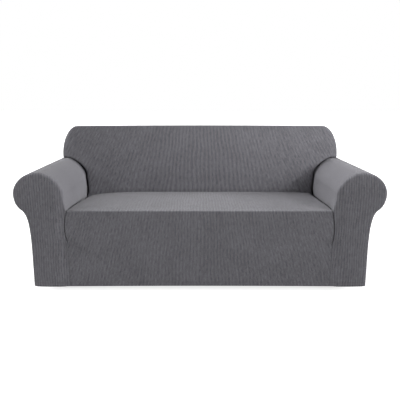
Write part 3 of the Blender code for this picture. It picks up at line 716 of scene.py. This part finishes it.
ARM_FOLDS_LEFT = folds(
    (120, 1150, 330, 1080, 30, -2.2),
    (420, 1080, 560, 1020, 26, -3),
    (480, 1180, 600, 1150, 28, 2.6),
    (250, 960, 520, 940, 45, 1.6),
    (60, 560, 300, 430, 45, -2.2),
    (760, 540, 480, 400, 50, -2.4),
    (150, 250, 420, 150, 60, 2),
    (560, 220, 800, 330, 50, 2.2),
)
ARM_FOLDS_RIGHT = folds(
    (100, 1090, 280, 1130, 32, 2),
    (400, 1120, 570, 1040, 28, -3),
    (500, 1210, 600, 1170, 26, 2.4),
    (200, 930, 450, 960, 45, -1.6),
    (80, 530, 340, 470, 45, -2.4),
    (780, 560, 520, 380, 50, -2),
    (200, 180, 460, 240, 60, 1.8),
    (600, 300, 790, 180, 50, 2.2),
)


def inner_wall(z):
    """The arm's inner wall, as it stands at height z up to the middle of the roll."""
    climb = max(z - INNER_WALL_TOP_Z, 0.0) / (ROLL_Z - INNER_WALL_TOP_Z)
    lean = WALL_FLARE * max(TUCK_TOP_Z - z, 0.0)
    return Vector((mix(INNER_WALL_X, ROLL_X - ROLL_INNER, ease(climb)) + lean, 0, z))


def roll_point(degrees):
    """A point on the roll: 180 faces the seat, 90 is the crest, 0 faces out."""
    c, s = cos_sin(degrees)
    half, power = (ROLL_INNER, 2 / ROLL_SHOULDER) if degrees > 90 else (ROLL_OUTER, 1)
    if degrees < 0:
        power = 2 / ROLL_UNDER_FULLNESS
    across, up = (math.copysign(abs(part) ** power, part) for part in (c, s))
    return Vector((ROLL_X + half * across, 0, ROLL_Z + ROLL_RISE * up))


def roll_angle(x):
    """Where the outer half of the roll reaches x, in degrees."""
    return math.degrees(math.acos((x - ROLL_X) / ROLL_OUTER))


def flare(steps):
    """From under the roll, in a hollow sweep, down to the straight outer wall."""
    start = roll_point(-ROLL_UNDERCUT)
    end = Vector((OUTER_WALL_X, 0, OUTER_WALL_TOP_Z))
    pulls = [Vector((OUTER_WALL_X + out, 0, z)) for out, z in FLARE_PULLS]
    return [Vector(p) for p in interpolate_bezier(start, *pulls, end, steps + 1)]


def arm_inside():
    """From the tuck beside the seat up the inner wall to the roll's crest."""
    wall = [inner_wall(z) for z in spread(ARM_FOOT_Z, ROLL_Z, WALL_STEPS)]
    side = [roll_point(a) for a in spread(180, SHOULDER_TURN, SIDE_STEPS)[1:]]
    top = [roll_point(a) for a in spread(SHOULDER_TURN, 90, TOP_STEPS)[1:]]
    return wall + side + top


def arm_outside(top_degrees):
    """From the roll, top_degrees up, down its outer side to the hem."""
    roll = [roll_point(a) for a in spread(top_degrees, -ROLL_UNDERCUT, 36)]
    wall = [Vector((OUTER_WALL_X, 0, z)) for z in spread(OUTER_WALL_TOP_Z, skirt_foot_z, 24)[1:]]
    return roll + flare(24)[1:] + wall


def outline_normals(points):
    """Unit normals of an outline, to the left of its direction in a front view."""
    normals = []
    for k in range(len(points)):
        along = points[min(k + 1, len(points) - 1)] - points[max(k - 1, 0)]
        normals.append(Vector((-along.z, 0, along.x)).normalized())
    return normals


def roll_top(x):
    """Height of the roll's outer half at x, beside and under the backrest."""
    return roll_point(roll_angle(x)).z - arm_pinch(x, ARM_TUCK_Y)


def arm_section(side, y, top_degrees=90):
    """The whole arm at depth y as a right arm, from the tuck beside the seat over the roll to the hem."""
    inside = arm_inside()
    normals = outline_normals(inside[:-1] + arm_outside(top_degrees))
    shut = min(max((TUCK_DEPTH - y) / (TUCK_DEPTH - RIM_Y), 0), 1)
    foot_z = seat_height(side * INNER_WALL_X, y) - SEAT_TUCK - FOOT_TURN
    lowest = mix(foot_z, TUCK_TOP_Z - FOOT_TURN, shut)
    for point in inside:
        if point.z < TUCK_TOP_Z:
            share = (TUCK_TOP_Z - point.z) / (TUCK_TOP_Z - ARM_FOOT_Z)
            point.z = mix(TUCK_TOP_Z, lowest, share)
            top_x = INNER_WALL_X - arm_drawn_in(side, y, TUCK_TOP_Z)
            point.x = mix(top_x, beside_seat(side, y, point.z), min(3 * share, 1))
        else:
            point.x -= arm_drawn_in(side, y, point.z)
    points = inside[:-1] + arm_outside(top_degrees)
    depth = Vector((0, y, 0))
    return [p + depth - n * arm_pinch(p.x, y) for p, n in zip(points, normals)]


def mirrored(points):
    return [Vector((-p.x, p.y, p.z)) for p in points]


arm_depths = [RIM_Y + SEAM_GAP + behind for behind in RIM_ROWS]
arm_depths += spread(TUCK_DEPTH, PINCH_FROM_Y, 60) + spread(PINCH_FROM_Y, ARM_TUCK_Y, 28)[1:]
arm_depths += spread(ARM_TUCK_Y, ARM_NARROW_Y, 4)[1:] + spread(ARM_NARROW_Y, REAR_SEAM_Y, 14)[1:]
crest_index = WALL_STEPS + SIDE_STEPS + TOP_STEPS
for side, hand, arm_folds in ((-1, "left", ARM_FOLDS_LEFT), (1, "right", ARM_FOLDS_RIGHT)):
    grid = []
    for y in arm_depths:
        uncovered = min(max((y - ARM_TUCK_Y) / (ARM_NARROW_Y - ARM_TUCK_Y), 0), 1)
        top = 90 if uncovered == 0 else roll_angle(mix(ROLL_X, BACK_HALF - SIDE_OVERLAP, uncovered))
        section = arm_section(side, y, top)
        lengths = [0.0]
        for low, high in zip(section[::-1], section[-2::-1]):
            lengths.append(lengths[-1] + (high - low).length)
        lengths.reverse()
        dip = RIM_DIP * (1 - ease((y - RIM_Y) / RIM_DIP_REACH))
        still = ease((y - RIM_Y) / ARM_STILL) * ease((REAR_SEAM_Y - y) / ARM_STILL)
        by_tuck = ease((y - ARM_TUCK_Y) / ARM_STILL + 1)
        row = []
        for point, normal, along in zip(section, outline_normals(section), lengths):
            rise = fold_rise(arm_folds, y, along) * still * ease(along / ARM_HEM_STILL) - dip
            rise *= 1 - by_tuck * ease((along - ARM_CREST) / ARM_CREST_SPAN)
            point += normal * rise
            point.x *= side
            row.append((point, Vector((y, along, min(y - RIM_Y, REAR_SEAM_Y - y)))))
        grid.append(row)
    last_inner = arm_depths.index(ARM_TUCK_Y)

    def keep(i, j):
        return j < last_inner or i >= crest_index

    arm_bm = lay_cloth(grid, keep)
    last = len(grid[0]) - 1
    turn_hem(arm_bm, border_of(arm_bm, (last, 0), (last, len(grid) - 1)), Vector((-side, 0, 0)))
    arm_knit = grey_knit(f"grey_knit_arm_{hand}", ARM_LOOK)
    core = Vector((side * ROLL_X, 0.4, 0.3))
    arm_cloth = sew_panel(arm_bm, f"arm_cloth_{hand}", f"arm_{hand}", core, arm_knit)
    beside = ["seat_panel", "inside_back"]

# Arm fronts
# Each arm is closed by a scroll-shaped piece of the knit, seamed round its rim to the arm's panel. Its
# inner side rolls into the tuck beside the skirt, and is sewn to the skirt from there down to the hem.
FRONT_CROWN = 0.006
FRONT_CROWN_REACH = 0.090
FRONT_FLAT_BY_SKIRT = 0.050
RIM_REACH = 0.018  # how far in from the rim the front starts to round off
RIM_OPENS = 9  # steps along the rim in which it gets to that, from the seat's corner up
HAUNCH = 40  # where its top turns into its outer side, in degrees
FRONT_COLUMNS = 44
FRONT_TUCK_ROWS = 52
FRONT_UPPER_ROWS = 28
FRONT_STILL = 0.030  # folds die away this near to the rim, and start just off the seam beside the skirt
FRONT_STILL_SEAM = 0.002
FRONT_STILL_SPAN = 0.012
CLOSE = 0.002  # distance between the points that stand for a rim
FRONT_GREY = (0.172, 0.169, 0.186)
FRONT_LOOK = KnitLook(FRONT_GREY, rib_width=0.0137, contrast=0.160, middle_breaks=0.3, side_breaks=0.3)

FRONT_FOLDS_LEFT = folds(
    (748, 278, 756, 205, 18, -3.2),
    (765, 420, 840, 520, 30, -1.6),
    (800, 330, 880, 350, 40, 1.2),
    (860, 230, 850, 80, 35, -1.2),
)
FRONT_FOLDS_RIGHT = folds(
    (744, 280, 754, 140, 18, -1.6),
    (770, 410, 850, 490, 32, -1.4),
    (810, 350, 890, 330, 36, 1.4),
    (850, 210, 870, 70, 35, -1),
)


def resample(points, steps):
    """Points at equal distances along a polyline."""
    lengths = [0.0]
    for a, b in zip(points, points[1:]):
        lengths.append(lengths[-1] + (b - a).length)
    result = []
    k = 0
    for target in spread(0, lengths[-1], steps):
        while k < len(points) - 2 and lengths[k + 1] < target:
            k += 1
        share = (target - lengths[k]) / (lengths[k + 1] - lengths[k])
        result.append(points[k].lerp(points[k + 1], min(max(share, 0), 1)))
    return result


def coons(bottom, top, left, right):
    """Rows of points that fill four sides, which run left to right and bottom to top."""
    rows, columns = len(left) - 1, len(bottom) - 1
    filled = []
    for j in range(rows + 1):
        v = j / rows
        row = []
        for i in range(columns + 1):
            u = i / columns
            across = left[j].lerp(right[j], u)
            upward = bottom[i].lerp(top[i], v)
            corners = bottom[0].lerp(bottom[-1], u).lerp(top[0].lerp(top[-1], u), v)
            row.append(across + upward - corners)
        filled.append(row)
    return filled


def nearness(outline):
    """A tree of close points along an outline, which says how far another point lies from it."""
    close = []
    for a, b in zip(outline, outline[1:]):
        steps = max(int((b - a).length / CLOSE), 1)
        close += [a.lerp(b, k / steps) for k in range(steps)]
    tree = KDTree(len(close))
    for k, point in enumerate(close):
        tree.insert(point, k)
    tree.balance()
    return tree


def crown_share(t):
    """How much of its crown a panel has, t being 0 at its rim and 1 where it is full."""
    return 1 - (1 - min(t, 1)) ** 2


def round_off(start, normal, reach, rim_y):
    """Where a border point goes as the cloth runs out from it by its reach and bends round to the rim."""
    path = []
    for degrees in ARC:
        c, s = cos_sin(degrees)
        point = start + normal * reach * s
        point.y = mix(start.y, rim_y, 1 - c)
        path.append(point)
    return path


def front_tuck_depth(z):
    """How far the arm front runs back beside the skirt, up to the seat's corner, where the seams meet."""
    closing = max(z - TUCK_CLOSES_Z, 0) / (TUCK_TOP_Z - TUCK_CLOSES_Z)
    return mix(mix(SEAM_DEPTH, TUCK_DEPTH, skirt_tuck(z)), RIM_Y, min(closing, 1))


seam_heights = spread(skirt_foot_z, edge_z, FRONT_TUCK_ROWS)
roof = resample([roll_point(a) for a in spread(SHOULDER_TURN, HAUNCH, 40)], FRONT_COLUMNS)
outer_side = [roll_point(a) for a in spread(HAUNCH, -ROLL_UNDERCUT, 30)] + flare(30)[1:]
outer_side += [Vector((OUTER_WALL_X, 0, skirt_foot_z))]
outer_side = resample(outer_side, FRONT_TUCK_ROWS + FRONT_UPPER_ROWS)
corner = FRONT_UPPER_ROWS
far_corner = FRONT_UPPER_ROWS + FRONT_COLUMNS
for side, hand, front_folds in ((-1, "left", FRONT_FOLDS_LEFT), (1, "right", FRONT_FOLDS_RIGHT)):
    beside_skirt = []
    for z in seam_heights:
        lip = mix(SEAM_R, TUCK_R + TUCK_SLOT, skirt_tuck(z))
        top_lip = INNER_WALL_X - arm_drawn_in(side, 0, edge_z) - skirt_seam(side, edge_z)
        lip = mix(lip, top_lip, ease((z - TUCK_CLOSES_Z) / (edge_z - TUCK_CLOSES_Z)))
        beside_skirt.append(Vector((skirt_seam(side, z) + lip, 0, z)))
    wall_heights = spread(TUCK_TOP_Z, ROLL_Z, 12)[1:]
    wall = [inner_wall(z) - Vector((arm_drawn_in(side, 0, z), 0, 0)) for z in wall_heights]
    wall += [roll_point(a) for a in spread(180, SHOULDER_TURN, 12)[1:]]
    rim = resample([beside_skirt[-1], *wall], FRONT_UPPER_ROWS) + roof[1:] + outer_side[1:]
    rim_normals = outline_normals(rim)
    rim_reaches = [RIM_REACH * ease(k / RIM_OPENS) for k in range(len(rim))]
    rim_starts = [p - n * r for p, n, r in zip(rim, rim_normals, rim_reaches)]
    inner_line = beside_skirt + rim_starts[1 : corner + 1]
    roof_line = rim_starts[corner : far_corner + 1]
    outer_line = rim_starts[far_corner:][::-1]
    bottom_line = [inner_line[0].lerp(outer_line[0], k / FRONT_COLUMNS) for k in range(FRONT_COLUMNS + 1)]
    face = coons(bottom_line, roof_line, inner_line, outer_line)
    rim_tree = nearness(rim)
    grid = []
    for face_row in face:
        row = []
        for point in face_row:
            away = rim_tree.find(point)[2]
            beside = point.x - skirt_seam(side, point.z)
            off_skirt = ease((beside - TUCK_R) / FRONT_FLAT_BY_SKIRT)
            crown = FRONT_CROWN * crown_share(away / FRONT_CROWN_REACH) * off_skirt
            still = ease((beside - FRONT_STILL_SEAM) / FRONT_STILL_SPAN) * ease(away / FRONT_STILL)
            rise = fold_rise(front_folds, point.x, point.z) * still
            seam = min(away, beside) if point.z < edge_z else away
            woven = Vector((side * point.x, point.z - skirt_foot_z, seam))
            row.append((Vector((side * point.x, -crown - rise, point.z)), woven))
        grid.append(row)
    front_bm = lay_cloth(grid)
    last, top = FRONT_COLUMNS, len(grid) - 1
    rim_border = border_of(front_bm, (0, FRONT_TUCK_ROWS), (0, top), (last, top), (last, 0))
    tuck_border = border_of(front_bm, (0, 0), (0, FRONT_TUCK_ROWS))
    hem_border = border_of(front_bm, (0, 0), (last, 0))
    paths = []
    for j, z in enumerate(seam_heights):
        start = grid[j][0][0]
        foot_x = start.x if z == edge_z else side * (skirt_seam(side, z) + SEAM_GAP / 2)
        radius = min(mix(SEAM_R, TUCK_R, skirt_tuck(z)), abs(start.x - foot_x))
        foot = Vector((foot_x, front_tuck_depth(z), z))
        paths.append(roll_over(start, Vector((-side, 0, 0)), Vector((0, 1, 0)), radius, foot))
    fold_edge(front_bm, tuck_border, paths, (-side, 0))

    outs = [Vector((side * n.x, 0, n.z)) for n in rim_normals]
    paths = []
    for vert, out, reach in zip(rim_border, outs, rim_reaches):
        paths.append(round_off(vert.co, out, max(reach - RIM_DIP, 0), RIM_Y))
    fold_edge(front_bm, rim_border, paths, [(n.x, n.z) for n in outs])
    turn_hem(front_bm, hem_border, Vector((0, 1, 0)))
    front_knit = grey_knit(f"grey_knit_arm_front_{hand}", FRONT_LOOK)
    core = Vector((side * ROLL_X, 0.4, 0.3))
    front_cloth = sew_panel(front_bm, f"arm_front_cloth_{hand}", f"arm_front_{hand}", core, front_knit)
    beside = [f"arm_{hand}", "seat_panel"]

# Inside back
# The largest panel covers the front of the backrest and wraps over its top and both ends. Between the
# arms it goes down behind the seat, and beside them it rounds into the tuck that the arms' panels share.
BACK_TOP_Z = 0.8900
BACK_CROWN = 0.0045
BACK_CORNER_X = 0.112
BACK_CORNER_Z = 0.1815
BACK_EDGE_R = BACK_HALF - ROLL_X
BACK_TOP_EDGE_R = 0.010
BACK_TOP_FALL = 0.018  # the top slopes down by this much towards the rear
BACK_FOOT_Y = SEAT_REAR_Y + SEAM_GAP
BACK_LEAN_Y = 0.665
BACK_BULGE = 0.015
BACK_LIP_Z = 0.478
TUCK_LIP_CREST = 0.010
BACK_SLOT_WALL = 0.010  # the backrest hangs this far off the arm, above the seam down in the tuck
BACK_SLOT_SHOULDER = 0.012
BACK_SLOT_FROM = 0.055
BACK_SLOT_CREST = 0.0030
BACK_FOOT_RISE = 0.020
SIDE_TUCK = 0.024
BACK_STILL = 0.1  # folds die away in this share of the height above the tuck, and at the top corners
CORNER_STILL_X = 0.840
CORNER_STILL_Z = 0.800
CORNER_STILL_SPAN = 0.030
WEAVE_TURNS = 0.60  # where the edge faces up by more than this, the weave goes on over it
WEAVE_TURNS_SPAN = 0.15
BACK_FAN = 0.80  # how much the ribs spread apart, per metre down from the top
OFF_SEAMS = 0.1
BACK_COLUMNS = 180  # along the level part of the top
CORNER_LOW, CORNER_HIGH = 10, 8  # steps round the top corner, up to 45 degrees and from there
WRAP_TURN_ROWS, WRAP_LEVEL_ROWS = 7, 14
BACK_LOOK = KnitLook(GREY, rib_width=0.0215, contrast=0.130, middle_breaks=0.1, side_breaks=1)

BACK_FOLDS = folds(
    (-800, 700, -660, 640, 28, -3),
    (-700, 560, -560, 520, 30, 2),
    (-520, 790, -470, 620, 50, -1.6),
    (-250, 800, -220, 560, 60, 1.6),
    (20, 720, 50, 540, 55, -1.4),
    (240, 820, 280, 600, 60, 1.6),
    (500, 780, 560, 600, 50, -1.6),
    (680, 550, 560, 510, 30, 2),
    (810, 700, 680, 650, 28, -2.6),
)


def back_corner(degrees):
    """The backrest's rounded top corner, 0 at its side and 90 at its top, with the outward normal."""
    c, s = cos_sin(degrees)
    point = Vector((BACK_HALF - BACK_CORNER_X * (1 - c), 0, BACK_TOP_Z - BACK_CORNER_Z * (1 - s)))
    return point, Vector((c * BACK_CORNER_Z, 0, s * BACK_CORNER_X)).normalized()


def back_top(x):
    """The backrest's top edge, crowned towards the middle, with the outward normal."""
    level_half = BACK_HALF - BACK_CORNER_X
    return Vector((x, 0, BACK_TOP_Z + BACK_CROWN * (1 - (x / level_half) ** 2))), Vector((0, 0, 1))


def back_outline():
    """Side and top of the backrest, from its right side over the top to its left, with outward normals."""
    half = [back_corner(a) for a in spread(0, 45, CORNER_LOW)]
    half += [back_corner(a) for a in spread(45, 90, CORNER_HIGH)[1:-1]]
    level_half = BACK_HALF - BACK_CORNER_X
    tops = [back_top(x) for x in spread(level_half, -level_half, BACK_COLUMNS)]
    return half + tops + [mirrored(pair) for pair in reversed(half)]


def edge_reach(normal):
    """How far the edge of the backrest rounds over: widely at its sides and tightly along its top."""
    return mix(BACK_EDGE_R, BACK_TOP_EDGE_R, ease(normal.z))


def back_face(point):
    """The point moved to the depth of the inside back, which leans back and swells in its middle."""
    t = min(max((point.z - BACK_LIP_Z) / (BACK_TOP_Z - BACK_LIP_Z), 0), 1)
    swell = math.sin(math.pi * t) * (1 - (point.x / BACK_HALF) ** 2)
    y = mix(BACK_FOOT_Y, BACK_LEAN_Y, t) - BACK_BULGE * swell + end_depth(point.x)
    if abs(point.x) < INNER_WALL_X:
        above_seat = point.z - seat_height(point.x, SEAT_REAR_Y)
        y += BACK_FOOT_RECESS * (1 - ease(above_seat / BACK_FOOT_RISE))
    still = ease(t / BACK_STILL)
    if abs(point.x) > CORNER_STILL_X:
        still *= ease((CORNER_STILL_Z - point.z) / CORNER_STILL_SPAN)
    return Vector((point.x, y - fold_rise(BACK_FOLDS, point.x, point.z) * still, point.z))


def level(end, steps):
    """A level row of points from the mirror image of end to end."""
    return [Vector((mix(-end.x, end.x, k / steps), end.y, end.z)) for k in range(steps + 1)]


arm = arm_section(-1, ARM_TUCK_Y)[: crest_index + 1]
tuck_normals = outline_normals(arm)
tuck_normals[-1] = Vector((0, 0, 1))
tuck_radii = [mix(TUCK_LIP_WALL, TUCK_LIP_CREST, ease(1.2 * max(n.z, 0))) for n in tuck_normals]
tuck_slots = []
for point, normal in zip(arm, tuck_normals):
    slot = mix(BACK_SLOT_WALL, BACK_SLOT_SHOULDER, ease(2 * normal.z))
    slot = mix(slot, BACK_SLOT_CREST, ease(2 * normal.z - 1))
    tuck_slots.append(slot * ease((point.z - arm[0].z) / BACK_SLOT_FROM))
border = [p + n * (SEAM_GAP + w + r) for p, n, w, r in zip(arm, tuck_normals, tuck_slots, tuck_radii)]
shoulder = WALL_STEPS + SIDE_STEPS
wall, crest = border[: shoulder + 1], border[shoulder:]
outline = back_outline()
inset = [p - n * edge_reach(n) for p, n in outline]
side_line = [crest[-1], crest[-1].lerp(inset[0], 0.5), *inset[: CORNER_LOW + 1]]
top_line = inset[CORNER_LOW:-CORNER_LOW][::-1]
columns = len(top_line) - 1
outer = len(crest) - 1
middle = level(wall[-1], columns - 2 * outer)
upper = coons(mirrored(crest[::-1])[:-1] + middle + crest[1:], top_line, mirrored(side_line), side_line)
lower = coons(level(wall[0], columns - 2 * outer), middle, mirrored(wall), wall)
join = len(lower) - 1
unused = [wall[0]] * outer  # the arms stand in these places, which are left out
flat_grid = [unused + row + unused for row in lower[:-1]] + upper
grid = []
for row in flat_grid:
    fans = [1 + BACK_FAN * (BACK_TOP_Z - p.z) for p in row]
    grid.append([(back_face(p), Vector((p.x / fan, 1 + p.z, OFF_SEAMS))) for p, fan in zip(row, fans)])
back_bm = lay_cloth(grid, lambda i, j: j >= join or outer <= i < columns - outer)

top = len(grid) - 1
left_tuck = border_of(back_bm, (outer, 0), (outer, join), (0, join))
right_tuck = border_of(back_bm, (columns - outer, 0), (columns - outer, join), (columns, join))

# The wrap runs from the foot of the right side over the top to the foot of the left. Low on each end it
# follows the roll of the arm down, as it rounds out over the arm.
wrap_border = border_of(back_bm, (columns, join), (columns, top), (0, top), (0, join))
sideways = Vector((1, 0, 0))
outs = [sideways, sideways] + [n for p, n in outline] + [-sideways, -sideways]
paths = []
turns = spread(0, 1, WRAP_TURN_ROWS)[1:] + [1.0] * WRAP_LEVEL_ROWS
for vert, out in zip(wrap_border, outs):
    start = vert.co.copy()
    turned = math.asin(end_share(start.x)) * abs(out.x)
    reach = edge_reach(out)
    depth = mix(BACK_END_DEPTH - end_depth(start.x), reach, ease(out.z))
    path = []
    for angle in spread(turned, math.pi / 2, WRAP_TURN_ROWS)[1:]:
        away = reach * (math.sin(angle) - math.sin(turned)) / (1 - math.sin(turned))
        back = depth * (1 - math.cos(angle) / math.cos(turned))
        path.append(start + out * away + Vector((0, back, 0)))
    end = path[-1]
    for share in spread(0, 1, WRAP_LEVEL_ROWS)[1:]:
        fall = BACK_TOP_FALL * ease(out.z) * share
        path.append(Vector((end.x, mix(end.y, REAR_SEAM_Y, share), end.z - fall)))
    if abs(out.x) == 1:
        lower = 1 - (start.z - border[-1].z) / (outline[0][0].z - border[-1].z)
        for point in path:
            point.z -= lower * (roll_top(ROLL_X) - roll_top(abs(point.x)))
    paths.append(path)
wrap_drifts = []
for out in outs:
    over_top = ease((out.z - WEAVE_TURNS) / WEAVE_TURNS_SPAN)
    wrap_drifts.append((math.copysign(1 - over_top, out.x), over_top))
wrap_rows = fold_edge(back_bm, wrap_border, paths, wrap_drifts)

# The tuck follows the arm up its wall and over its shoulder, and goes on under the ends of the wrap.
for side, end, tuck_border in ((-1, -1, left_tuck), (1, 0, right_tuck)):
    paths, drifts = [], []
    for vert, normal, radius, slot in zip(tuck_border, tuck_normals, tuck_radii, tuck_slots):
        start = vert.co.copy()
        out = Vector((-side * normal.x, 0, -normal.z))
        foot = start + out * (radius + slot)
        foot.y = ARM_TUCK_Y
        lip_depth = TUCK_LIP_DEPTH / radius
        paths.append(roll_over(start, out, Vector((0, lip_depth, 0)), radius, foot))
        drifts.append((out.x, out.z))
    for row, turn in zip(wrap_rows, turns):
        start = row[end].co.copy()
        angle = turn * math.pi / 2
        inward = Vector((-side * math.sin(angle), math.cos(angle), 0))
        foot = start + inward * SIDE_TUCK
        foot.z = roll_top(abs(foot.x)) + SEAM_GAP
        paths.append(roll_over(start, Vector((0, 0, -1)), inward, TUCK_LIP_CREST, foot))
        drifts.append((0, -1))
    full_border = tuck_border + [row[end] for row in wrap_rows]
    fold_edge(back_bm, full_border, paths, drifts)
back_knit = grey_knit("grey_knit_back", BACK_LOOK)
back_cloth = sew_panel(back_bm, "inside_back_cloth", "inside_back", Vector((0, 0.8, 0.5)), back_knit)

# Outside back
# A flat panel closes the rear, cut to the outline of the backrest and both arms and down to the hem. It is
# seamed to the inside back and to the arms' panels all round, and the seam rolls a little to the sides.
REAR_CROWN = 0.010
REAR_CROWN_REACH = 0.250
REAR_RIM_REACH = 0.012
REAR_FLAT_Y = 0.862
REAR_STILL = 0.050  # folds die away this near to the edge
REAR_LOOK = KnitLook(GREY, rib_width=0.0190, contrast=0.140, middle_breaks=0.5, side_breaks=1)

REAR_FOLDS = folds(
    (-840, 640, -640, 500, 40, -3),
    (-860, 420, -700, 380, 40, 2.2),
    (-500, 800, -460, 420, 70, -2.2),
    (-200, 700, -160, 200, 80, 2.2),
    (120, 780, 150, 350, 70, -2),
    (430, 720, 480, 260, 70, 2.2),
    (840, 650, 650, 520, 40, -3),
    (870, 400, 720, 350, 40, 2),
    (-700, 280, -660, 80, 50, 2),
    (640, 240, 620, 70, 50, -1.8),
)

top_start = CORNER_LOW + CORNER_HIGH
rear_outline = [p - Vector((0, 0, BACK_TOP_FALL * ease(n.z))) for p, n in outline]
side_line = arm_outside(roll_angle(BACK_HALF))[::-1] + rear_outline[: top_start + 1]
top_line = rear_outline[top_start:-top_start][::-1]
edge = side_line + top_line[-2:0:-1] + mirrored(side_line)[::-1]
edge_normals = [-n for n in outline_normals(edge)]
edge_starts = [p - n * REAR_RIM_REACH for p, n in zip(edge, edge_normals)]
side_start = edge_starts[: len(side_line)]
top_starts = edge_starts[len(side_line) - 1 : len(side_line) + BACK_COLUMNS][::-1]
face = coons(level(side_start[0], BACK_COLUMNS), top_starts, mirrored(side_start), side_start)
edge_tree = nearness(edge)
grid = []
for face_row in face:
    row = []
    for point in face_row:
        away = edge_tree.find(point)[2]
        rise = fold_rise(REAR_FOLDS, point.x, point.z) * ease(away / REAR_STILL)
        y = REAR_FLAT_Y + REAR_CROWN * crown_share(away / REAR_CROWN_REACH) + rise
        row.append((Vector((point.x, y, point.z)), Vector((point.x, point.z - skirt_foot_z, away))))
    grid.append(row)
rear_bm = lay_cloth(grid)
last, top = BACK_COLUMNS, len(grid) - 1
rim_border = border_of(rear_bm, (last, 0), (last, top), (0, top), (0, 0))
hem_border = border_of(rear_bm, (0, 0), (last, 0))
rim_y = REAR_SEAM_Y + SEAM_GAP
paths = [round_off(v.co, n, REAR_RIM_REACH, rim_y) for v, n in zip(rim_border, edge_normals)]
fold_edge(rear_bm, rim_border, paths, [(n.x, n.z) for n in edge_normals])
turn_hem(rear_bm, hem_border, Vector((0, -1, 0)))
rear_knit = grey_knit("grey_knit_rear", REAR_LOOK)
rear_cloth = sew_panel(rear_bm, "outside_back_cloth", "outside_back", Vector((0, 0.4, 0.4)), rear_knit)

# Studio
# A pale floor lies at the height of the sofa's feet, 40 mm under the hem. Soft lights stand to the right,
# to the left and overhead, and the camera looks down at the seats from the front.
FLOOR_TONE = 0.25  # the floor throws back only this much light, and looks lighter and glows to the camera
FLOOR_SEEN_TONE = 0.80
FLOOR_SEEN_GLOW = 0.80
LENS = 44.70
CAMERA_PLACE = Vector((0, -2.62, 1.0912))
CAMERA_DIP = 11.982
floor_bm = bmesh.new()
bmesh.ops.create_grid(floor_bm, x_segments=8, y_segments=8, size=30)
bmesh.ops.translate(floor_bm, verts=floor_bm.verts, vec=-ORIGIN)
floor_mesh = bpy.data.meshes.new("floor")
floor_bm.to_mesh(floor_mesh)
floor_bm.free()
floor = link_in("floor", floor_mesh)
floor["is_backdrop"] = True
pale = bpy.data.materials.new("pale_floor")
pale.use_nodes = True
pale.node_tree.nodes.clear()
add, calc, remap = node_calls(pale.node_tree)
seen = add("LightPath").outputs["Is Camera Ray"]
tones = {"A": (*[FLOOR_TONE] * 3, 1), "B": (*[FLOOR_SEEN_TONE] * 3, 1)}
floor_tone = add("Mix", data_type="RGBA")
feed(floor_tone, {"Factor": seen, **tones})
matt = add("BsdfDiffuse", {"Color": floor_tone.outputs["Result"]})
glow = add("Emission", {"Strength": calc("MULTIPLY", seen, FLOOR_SEEN_GLOW)})
both = add("AddShader", (matt.outputs[0], glow.outputs[0]))
add("OutputMaterial", {"Surface": both.outputs[0]})
floor_mesh.materials.append(pale)

world = bpy.data.worlds.new("studio")
bpy.context.scene.world = world
world.use_nodes = True
add, calc, remap = node_calls(world.node_tree)
seen = add("LightPath").outputs["Is Camera Ray"]
strength = remap(seen, 0, 1, 0, 1, smooth=False)
feed(world.node_tree.nodes["Background"], {"Color": (1, 1, 1, 1), "Strength": strength})

Lamp = namedtuple("Lamp", "name azimuth elevation energy softness")
LAMPS = (
    Lamp("light_left_high", -125, 48, 1.52, 40),
    Lamp("light_left", -90, 20, 1.75, 40),
    Lamp("light_left_front", -70, 20, 0.50, 40),
    Lamp("light_right", 90, 20, 2.28, 15),
    Lamp("light_right_front", 45, 20, 0.75, 15),
    Lamp("light_right_narrow", 45, 28, 0.85, 7),
    Lamp("light_front_narrow", 35, 35, 0.40, 7),
)


def hang_light(name, kind, energy, place, towards):
    light = link_in(name, bpy.data.lights.new(name, kind))
    light.data.energy = energy
    light.location = place
    light.rotation_euler = (place - towards).to_track_quat("Z", "Y").to_euler()
    return light


for lamp in LAMPS:
    (c, s), (level_share, rise) = cos_sin(lamp.azimuth), cos_sin(lamp.elevation)
    place = Vector((s * level_share, -c * level_share, rise)) * 4
    light = hang_light(lamp.name, "SUN", lamp.energy, place, Vector())
    light.data.angle = math.radians(lamp.softness)
over_seats = Vector((0.7, 0.1, 1.3)) - ORIGIN
low_on_back = Vector((0.45, 0.55, 0.6)) - ORIGIN
light = hang_light("light_over_seats", "AREA", 3.0, over_seats, low_on_back)
light.data.size = 0.7
light.visible_camera = False

camera = link_in("camera", bpy.data.cameras.new("camera"))
camera.data.lens = LENS
camera.data.sensor_width = 36
camera.location = CAMERA_PLACE - ORIGIN
camera.rotation_euler = (math.radians(90 - CAMERA_DIP), 0, 0)
bpy.context.scene.camera = camera
bpy.context.scene.view_settings.view_transform = "Standard"

low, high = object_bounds()
{"cad": [list(cad_low), list(cad_high)], "visual": [list(low), list(high)]}
